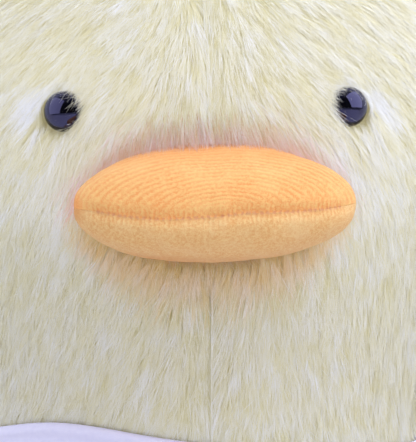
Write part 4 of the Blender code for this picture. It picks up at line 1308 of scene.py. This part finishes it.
def thread_material(name, colour):
    """Twisted thread, with painted shade darker between its strands."""
    material, tree, shader = new_material(name)
    twist = grain(tree, 1800.0)
    dark = tuple(0.7 * c for c in colour)
    tone = mixed(tree, tree.eased(twist, 0.35, 0.65), (*dark, 1), (*colour, 1))
    finish_shader(tree, shader, Base_Color=tone, Roughness=0.7, Normal=relief(tree, twist, 0.4, 0.1 * MM))
    return material


foot_thread = thread_material("foot_thread", (0.78, 0.36, 0.13))


def toe_line(sign, share):
    """A place on the line between two toes, from the web back towards the heel."""
    turn_to = 1.5 * pi + sign * pi / 6
    web = (foot_half_length - FOOT_WEB_DEPTH) * np.array([cos(turn_to), sin(turn_to)])
    return web * (1 - TOE_LINE_SHARE * share)


def foot_rows(tilts, facing, inset, thinning, lobes):
    """Rings of a foot from one height angle to another, drawn in from its outline and made thinner."""
    angles = np.linspace(0, 2 * pi, FOOT_COLUMNS, endpoint=False)
    lobe = lobes * ease(-np.sin(angles) * 2 - 0.4) * np.cos(6 * (angles - 1.5 * pi)) - inset
    rows = []
    for tilt in tilts:
        spread = round_power(cos(tilt), FOOT_EDGE_POWER)
        lift = facing * (foot_half_thickness - thinning) * round_power(sin(tilt), FOOT_EDGE_POWER)
        x = (FOOT_HALF_WIDTH + lobe) * np.cos(angles) * spread
        y = (foot_half_length + lobe) * np.sin(angles) * spread
        rows.append(foot_middle + np.stack([facing * x, y, np.full(FOOT_COLUMNS, lift)], 1))
    return rows


def seat_foot(piece):
    """Presses a foot's piece against the body's front, in place."""
    places, _ = points_of(piece)
    spots = places - np.outer(np.minimum(places @ tangent, 0), tangent)
    spots[:, 2] = np.maximum(spots[:, 2], -FOOT_THICKNESS + 0.2 * MM)
    moved(piece, spots - places)
    piece.data.transform(foot_place)
    places, _ = points_of(piece)
    spots = places.copy()
    for spot in spots:
        width, depth, shift = torso_section(max(spot[2], 0), FOOT_SEAT)
        spot[1] = min(spot[1], shift - depth * fullness(abs(spot[0]) / width, GIRTH_POWER))
    moved(piece, spots - places)


for word, side in SIDES.items():
    hinge = torso_front(side * FOOT_SPREAD, FOOT_THICKNESS, FOOT_SEAT)
    facing_out = torso_normal(side * FOOT_SPREAD, FOOT_THICKNESS, FOOT_SEAT)
    splay = atan2(facing_out.x, -facing_out.y)
    foot_place = Matrix.Translation(hinge) @ Matrix.Rotation(splay, 4, "Z")
    tangent = np.array(Matrix.Rotation(-splay, 3, "Z") @ facing_out)
    rows = foot_rows(np.linspace(-pi / 2, pi / 2, FOOT_ROWS)[1:-1], 1, FOOT_WAD_INSET, FOOT_WAD_THINNING, 0)
    under, over = [foot_middle + (0, 0, s * (foot_half_thickness - FOOT_WAD_THINNING)) for s in (-1, 1)]
    wad = surface(f"{word}_foot_wad", rows, closed=True, start=under, end=over)
    seat_foot(wad)
    pad(wad, f"{word}_foot", f"{word}_foot_stuffing", filling)
    for part, facing, slot, material in (("upper", 1, "orange_velour", orange_velour),
                                         ("sole", -1, "pale_orange_velour", pale_velour)):
        rows = foot_rows(np.linspace(0, pi / 2, FOOT_ROWS)[:-1], facing, 0, 0, FOOT_WEB_DEPTH)
        pole = foot_middle + (0, 0, facing * foot_half_thickness)
        cover = surface(f"{word}_foot_{part}_cover", rows, closed=True, end=pole)
        places, normals = points_of(cover)
        level = np.abs(places[:, 2] - foot_middle[2])
        inward = SEAM_GROOVE * np.exp(-(level / (1.6 * MM)) ** 2)
        for sign in (-1, 1):
            line = np.array([toe_line(sign, share) for share in np.linspace(0, 1, 60)])
            gap = np.linalg.norm(places[:, None, :2] - foot_middle[:2] - line[None], axis=2).min(1)
            inward += (TOE_GROOVE if facing > 0 else SOLE_GROOVE) * np.exp(-(gap / (2.6 * MM)) ** 2)
        swell = 0.5 * MM * bumps(places, 12 * MM, 5 + side) * (facing > 0)
        moved(cover, normals * (swell - inward)[:, None])
        seat_foot(cover)
        places, _ = points_of(cover)
        note(cover, "row", places[:, 1] - places[:, 1].min())
        for mark, value in (("rim", FOOT_PLAIN), ("along", 0), ("root", FOOT_PLAIN), ("turned", 0)):
            note(cover, mark, np.full(len(places), value))
        pad(cover, f"{word}_foot", f"{word}_foot_{part}", material)
    for sign, toe in ((-1, "outer"), (1, "inner")):
        points = []
        for share in np.linspace(0.12, 1, 24):
            x, y = toe_line(sign, share) + foot_middle[:2]
            angle = atan2((y - foot_middle[1]) / foot_half_length, x / FOOT_HALF_WIDTH)
            spread = np.hypot((y - foot_middle[1]) / foot_half_length, x / FOOT_HALF_WIDTH)
            rise = (1 - min(spread, 1) ** FOOT_EDGE_POWER) ** (1 / FOOT_EDGE_POWER)
            top = foot_middle[2] + foot_half_thickness * rise - TOE_GROOVE + THREAD_RISE
            points.append(foot_place @ Vector((x, y, top)))
        stitch(f"{word}_foot_{toe}_toe_stitches", points, f"{word}_foot", "orange_velour", foot_thread,
               Pitch=3.2 * MM, Length=2.2 * MM)


# Base panel. It is a flat oval of short-pile fabric, sewn to the lower edge of the body panels,
# and the duck rests on it.

BASE_ROWS = 14
BASE_COLUMNS = 160
BASE_INSET = 8.6 * MM
BASE_THICKNESS = 1.8 * MM
BASE_EDGE_RISE = 0.9 * MM
outline = torso_row(np.linspace(0, 2 * pi, BASE_COLUMNS, endpoint=False), 0, -BASE_INSET)
centre = np.array([0, BODY_BACK_SHIFT, 0])
rows = []
for share in np.linspace(0.04, 1, BASE_ROWS):
    rows.append(centre + (outline - centre) * share + (0, 0, BASE_THICKNESS))
for share in np.linspace(1, 0.04, BASE_ROWS):
    rows.append(centre + (outline - centre) * share + (0, 0, BASE_EDGE_RISE * between(share, 0.93, 1)))
base = surface("base_cover", rows, closed=True, start=centre + (0, 0, BASE_THICKNESS), end=centre)
base.data.flip_normals()
short_pile, short_tree, short_shader = new_material("short_pile")
nap = grain(short_tree, 1400.0, 3.0)
patch = grain(short_tree, 90.0)
tone = mixed(short_tree, nap, (0.84, 0.78, 0.52, 1), (0.93, 0.9, 0.76, 1))
tone = mixed(short_tree, short_tree.eased(patch, 0.4, 0.7) * 0.3, tone, (0.8, 0.73, 0.48, 1))
nap_relief = relief(short_tree, nap, 0.7, 0.5 * MM)
finish_shader(short_tree, short_shader, Base_Color=tone, Roughness=0.95, Normal=nap_relief)
pad(base, "torso", "body_base_panel", short_pile)


# Neckerchief. It is a triangle of white cotton, rolled at its long edge and folded round the neck
# a little askew, its point on the chest and its two ends knotted behind.

CLOTH_RISE = 5.6 * MM
CLOTH_SLANT = 4.5 * MM
CLOTH_HUMP = 6.4 * MM
CLOTH_HUMP_PLACE = radians(234)
CLOTH_HUMP_SPREAD = radians(26)
CLOTH_COLUMNS = 360
CLOTH_ROWS = 40
CLOTH_SHEET = 0.7 * MM
CLOTH_GAP = 1.1 * MM
CLOTH_HUG = 2.6 * MM
CLOTH_ROLL = 1.6 * MM
CLOTH_FOLD_DROPS = [v * MM for v in (11, 19, 28, 38)]
CLOTH_FOLD_DEPTHS = [v * MM for v in (1.1, 1.3, 1.0, 0.8)]
CLOTH_SIDE_FOLD = 0.9 * MM
THREAD_PITCH = 0.55 * MM


def cloth_edges(angle):
    """Lower and upper edge of the neckerchief at an angle about Z; the front is at 270 degrees."""
    off_hump = (angle - CLOTH_HUMP_PLACE) / CLOTH_HUMP_SPREAD
    rise = CLOTH_RISE - CLOTH_SLANT * cos(angle) + CLOTH_HUMP * exp(-off_hump ** 2)
    off_front = min(abs(angle - 1.5 * pi), abs(angle + pi / 2)) / CLOTH_POINT_SPREAD
    point = CLOTH_POINT_DROP * max(0, 1 - off_front)
    return NECK_LEVEL - CLOTH_DROP - point, NECK_LEVEL + rise


shares = np.linspace(0, 1, CLOTH_ROWS)
columns = []
for angle in np.linspace(0, 2 * pi, CLOTH_COLUMNS, endpoint=False):
    low, high = cloth_edges(angle)
    front = exp(-((angle - 1.5 * pi) / 0.75) ** 2)
    column = []
    for share in shares:
        z = low + (high - low) * share
        rolled = CLOTH_ROLL * exp(-((high - z - 2.6 * MM) / (1.9 * MM)) ** 2)
        drape = 0.0
        for drop, depth in zip(CLOTH_FOLD_DROPS, CLOTH_FOLD_DEPTHS):
            sag = drop + 5 * MM * (1 - ((angle - 1.5 * pi) / 0.9) ** 2)
            drape += depth * front * exp(-((high - z - sag) / (2.8 * MM)) ** 2)
        ripple = 0.5 + 0.5 * sin((high - z) / (2.1 * MM) + 1.5 * sin(3 * angle))
        hugging = CLOTH_HUG * exp(-((high - z) / (6 * MM)) ** 2)
        grow = CLOTH_GAP + rolled + drape + CLOTH_SIDE_FOLD * (1 - front) * ripple - hugging
        column.append(torso_row(np.array([angle]), z, grow)[0])
    columns.append(column)
rows = np.array(columns).transpose(1, 0, 2)
cloth = surface("neckerchief_cloth", rows, closed=True)
cloth_round = np.linalg.norm(np.diff(np.concatenate([rows[0], rows[0][:1]]), axis=0), axis=1).sum()
note(cloth, "round", np.tile(np.linspace(0, cloth_round, CLOTH_COLUMNS, endpoint=False), CLOTH_ROWS))
thicken(cloth, CLOTH_SHEET)

cotton, cotton_tree, cotton_shader = new_material("white_cotton")
place = cotton_tree.node("ShaderNodeTexCoord", out="Object")
level = cotton_tree.node("ShaderNodeSeparateXYZ", {0: place}, out="Z")
warp = cotton_tree.work("SINE", noted_on(cotton_tree, "round") * (2 * pi / THREAD_PITCH))
weft = cotton_tree.work("SINE", level * (2 * pi / THREAD_PITCH))
weave = warp * weft * 0.25 + grain(cotton_tree, 500.0, 3.0) * 0.5
# The white cotton is given a lavender tint: the lamps' bluish light painted into its colour.
tone = mixed(cotton_tree, cotton_tree.eased(weave, 0.0, 0.5), (0.72, 0.7, 0.96, 1), (0.8, 0.78, 1.0, 1))
cotton_relief = relief(cotton_tree, weave, 0.3, 0.15 * MM)
finish_shader(cotton_tree, cotton_shader, Base_Color=tone, Roughness=0.85, Normal=cotton_relief)
cloth.data.materials.append(cotton)

KNOT_RADIUS = 10 * MM
KNOT_FLATNESS_SHARE = 0.75
KNOT_TAIL_LENGTH = 34 * MM
KNOT_TAIL_HALF_WIDTH = 9 * MM
KNOT_TAIL_SPLAY = radians(24)
KNOT_TAIL_SHEET = CLOTH_SHEET * 1.6
KNOT_TAIL_GAP = 3.4 * MM
KNOT_GAP = 2.6 * MM
KNOT_SIDES = 96
KNOT_RINGS = 48
knot_middle = torso_row(np.array([pi / 2]), NECK_LEVEL, KNOT_GAP + KNOT_RADIUS * KNOT_FLATNESS_SHARE)[0]
knot_shares = (1, KNOT_FLATNESS_SHARE, KNOT_FLATNESS_SHARE)
turns = np.linspace(0, 2 * pi, KNOT_SIDES, endpoint=False)
rows = []
for tilt in np.linspace(-pi / 2, pi / 2, KNOT_RINGS)[1:-1]:
    wrap = 1 + 0.07 * np.sin(5 * tilt + 2 * np.sin(turns)) + 0.04 * np.sin(3 * turns + 4 * tilt)
    ring = np.stack([np.full(KNOT_SIDES, sin(tilt)), cos(tilt) * np.cos(turns), cos(tilt) * np.sin(turns)], 1)
    rows.append(knot_middle + ring * KNOT_RADIUS * knot_shares * wrap[:, None])
knot_end = np.array([KNOT_RADIUS, 0, 0])
ends = {"start": knot_middle - knot_end, "end": knot_middle + knot_end}
knot = surface("neckerchief_knot_ball", rows, closed=True, **ends)
knot_parts = [knot]
for word, side in SIDES.items():
    rows = []
    for share in np.linspace(0, 1, 30):
        half = KNOT_TAIL_HALF_WIDTH * (0.35 + 0.65 * ease(share * 1.6))
        across = np.linspace(-half, half, 16)
        down = KNOT_TAIL_LENGTH * share + 0.25 * across * share
        ripple = 1.1 * MM * np.sin(across / (2.6 * MM) + side) * (1 - 0.4 * share)
        rows.append(np.stack([across, ripple + 2 * MM * sin(3 * share), -down], 1))
    end = surface(f"knot_end_{word}", rows)
    end.data.transform(Matrix.Translation(knot_middle) @ Matrix.Rotation(-side * KNOT_TAIL_SPLAY, 4, "Y"))
    places, _ = points_of(end)
    spots = places.copy()
    for spot in spots:
        width, depth, shift = torso_section(spot[2], KNOT_TAIL_GAP)
        spot[1] = max(spot[1], shift + depth * fullness(abs(spot[0]) / width, GIRTH_POWER))
    moved(end, spots - places)
    end_shell = end.modifiers.new("thickness", "SOLIDIFY")
    end_shell.thickness = KNOT_TAIL_SHEET
    end_shell.offset = 0
    knot_parts.append(end)
for part in knot_parts:
    part.data.materials.append(cotton)
    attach(part, "torso")
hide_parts("neckerchief_knot")
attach(cloth, "torso")
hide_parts("neckerchief")


# The view and the light of the photograph. The camera looks level at the face from a metre away.
# Soft lamps stand to both sides, above and behind, over a pale floor in a pale room.

PIXELS_PER_METRE = 2780
PHOTO_HEIGHT = 442
VIEW_DISTANCE = 1.0
EYE_PLANE = -0.091
VIEW_CENTRE = Vector((-0.0008, EYE_PLANE, 0.2096))
VIEW_ROLL = radians(-1.2)
VIEW_TURN = radians(-5)
SENSOR = 36

lens_data = bpy.data.cameras.new("camera")
lens_data.sensor_width = SENSOR
lens_data.lens = SENSOR * VIEW_DISTANCE * PIXELS_PER_METRE / PHOTO_HEIGHT
camera = bpy.data.objects.new("camera", lens_data)
upright = Matrix.Rotation(pi / 2, 4, "X") @ Matrix.Rotation(VIEW_ROLL, 4, "Z")
back_off = Matrix.Rotation(VIEW_TURN, 4, "Z") @ Matrix.Translation((0, -VIEW_DISTANCE, 0))
camera.matrix_world = Matrix.Translation(VIEW_CENTRE) @ back_off @ upright
bpy.context.scene.collection.objects.link(camera)
bpy.context.scene.camera = camera


def backdrop_paths(tree):
    """1 for a ray from the camera; and 1 for a mirrored or a bent ray, which see the backdrop too."""
    rays = ("Is Camera Ray", "Is Glossy Ray", "Is Transmission Ray")
    camera_ray, glossy, through = tree.node("ShaderNodeLightPath", out=rays)
    return camera_ray, tree.most(glossy, through)


LAMP_TINT = (0.93, 0.95, 1.0)


def add_lamp(name, place, size, power, aim=(0, 0, 0.2), dark=()):
    """A soft lamp. Eyes that are dark to it don't mirror it, as if the fur beside them hid it."""
    lamp = bpy.data.lights.new(name, "AREA")
    lamp.shape = "RECTANGLE"
    lamp.size, lamp.size_y = size
    lamp.energy = power
    lamp.color = LAMP_TINT
    holder = bpy.data.objects.new(name, lamp)
    place = Vector(place)
    aim = Vector(aim) - place
    holder.matrix_world = Matrix.Translation(place) @ aim.to_track_quat("-Z", "Y").to_matrix().to_4x4()
    holder.visible_camera = False
    bpy.context.scene.collection.objects.link(holder)
    lit = bpy.data.collections.new(name)
    for word in dark:
        lit.objects.link(bpy.data.objects[f"{word}_safety_eye"])
    for item in lit.collection_objects:
        item.light_linking.link_state = "EXCLUDE"
    if dark:
        holder.light_linking.receiver_collection = lit


add_lamp("right_window", (0.8, -0.5, 0.8), (1.4, 1.35), 12.3, dark=["right"])
add_lamp("left_window", (-0.88, -0.44, 0.74), (1.3, 1.4), 7.4, dark=["left"])
add_lamp("top_light", (0.15, -0.5, 1.2), (0.9, 0.9), 4.6, dark=["left", "right"])
for word, side in SIDES.items():
    add_lamp(f"{word}_rear_window", (side * 0.7, 0.75, 0.75), (1.3, 1.3), 6.4, dark=["left", "right"])
add_lamp("table_bounce", (0, -0.45, 0.03), (1.0, 0.5), 1.5, aim=(0, -0.3, 1), dark=["left", "right"])

FLOOR = 3.0
FLOOR_NEAR, FLOOR_FAR = 0.25, 0.9
floor_corners = [(-FLOOR, -FLOOR, 0), (FLOOR, -FLOOR, 0), (FLOOR, FLOOR, 0), (-FLOOR, FLOOR, 0)]
floor_mesh = bpy.data.meshes.new("floor")
floor_mesh.from_pydata(floor_corners, [], [(0, 1, 2, 3)])
floor = show("floor", floor_mesh)
floor_material, floor_tree, floor_shader = new_material("floor")
glare = floor_tree.node("ShaderNodeEmission", {"Color": (0.9, 0.9, 0.9, 1), "Strength": 1.0})
seen, mirrored = backdrop_paths(floor_tree)
floor_shown = floor_tree.most(seen, mirrored)
floor_colour = mixed(floor_tree, floor_shown, (0.42, 0.42, 0.42, 1), (0.8, 0.8, 0.8, 1))
finish_shader(floor_tree, floor_shader, Base_Color=floor_colour, Roughness=0.9)
floor_place = floor_tree.node("ShaderNodeTexCoord", out="Object")
far = floor_tree.eased(floor_tree.vector("LENGTH", floor_place, out="Value"), FLOOR_NEAR, FLOOR_FAR)
behind = floor_tree.eased(floor_tree.node("ShaderNodeSeparateXYZ", {0: floor_place}, out="Y"), -0.8, 0.0)
lit_share = floor_tree.most(seen, mirrored * behind) * far
floor_wire = Wire(floor_tree, floor_shader.outputs[0])
floor_mix = floor_tree.node("ShaderNodeMixShader", {0: lit_share, 1: floor_wire, 2: glare})
floor_tree.set(floor_material.node_tree.nodes["Material Output"].inputs["Surface"], floor_mix)
floor_mesh.materials.append(floor_material)

world = bpy.data.worlds.new("studio")
world.use_nodes = True
bpy.context.scene.world = world
room = Tree(world.node_tree)
sky = world.node_tree.nodes["Background"]
seen, mirrored = backdrop_paths(room)
direction = room.node("ShaderNodeTexCoord", out="Generated")
ahead = room.node("ShaderNodeSeparateXYZ", {0: direction}, out="Y")
dim = room.blend(room.eased(ahead, -0.3, -0.8), 0.3, 0.02)
dim = room.blend(mirrored * room.eased(ahead, -0.1, 0.3), dim, 1.0)
room.set(sky.inputs["Color"], mixed(room, seen, (0.86, 0.89, 0.95, 1), (0.9, 0.9, 0.9, 1)))
room.set(sky.inputs["Strength"], room.blend(seen, dim, 1.0))
bpy.context.scene.view_settings.view_transform = "Standard"
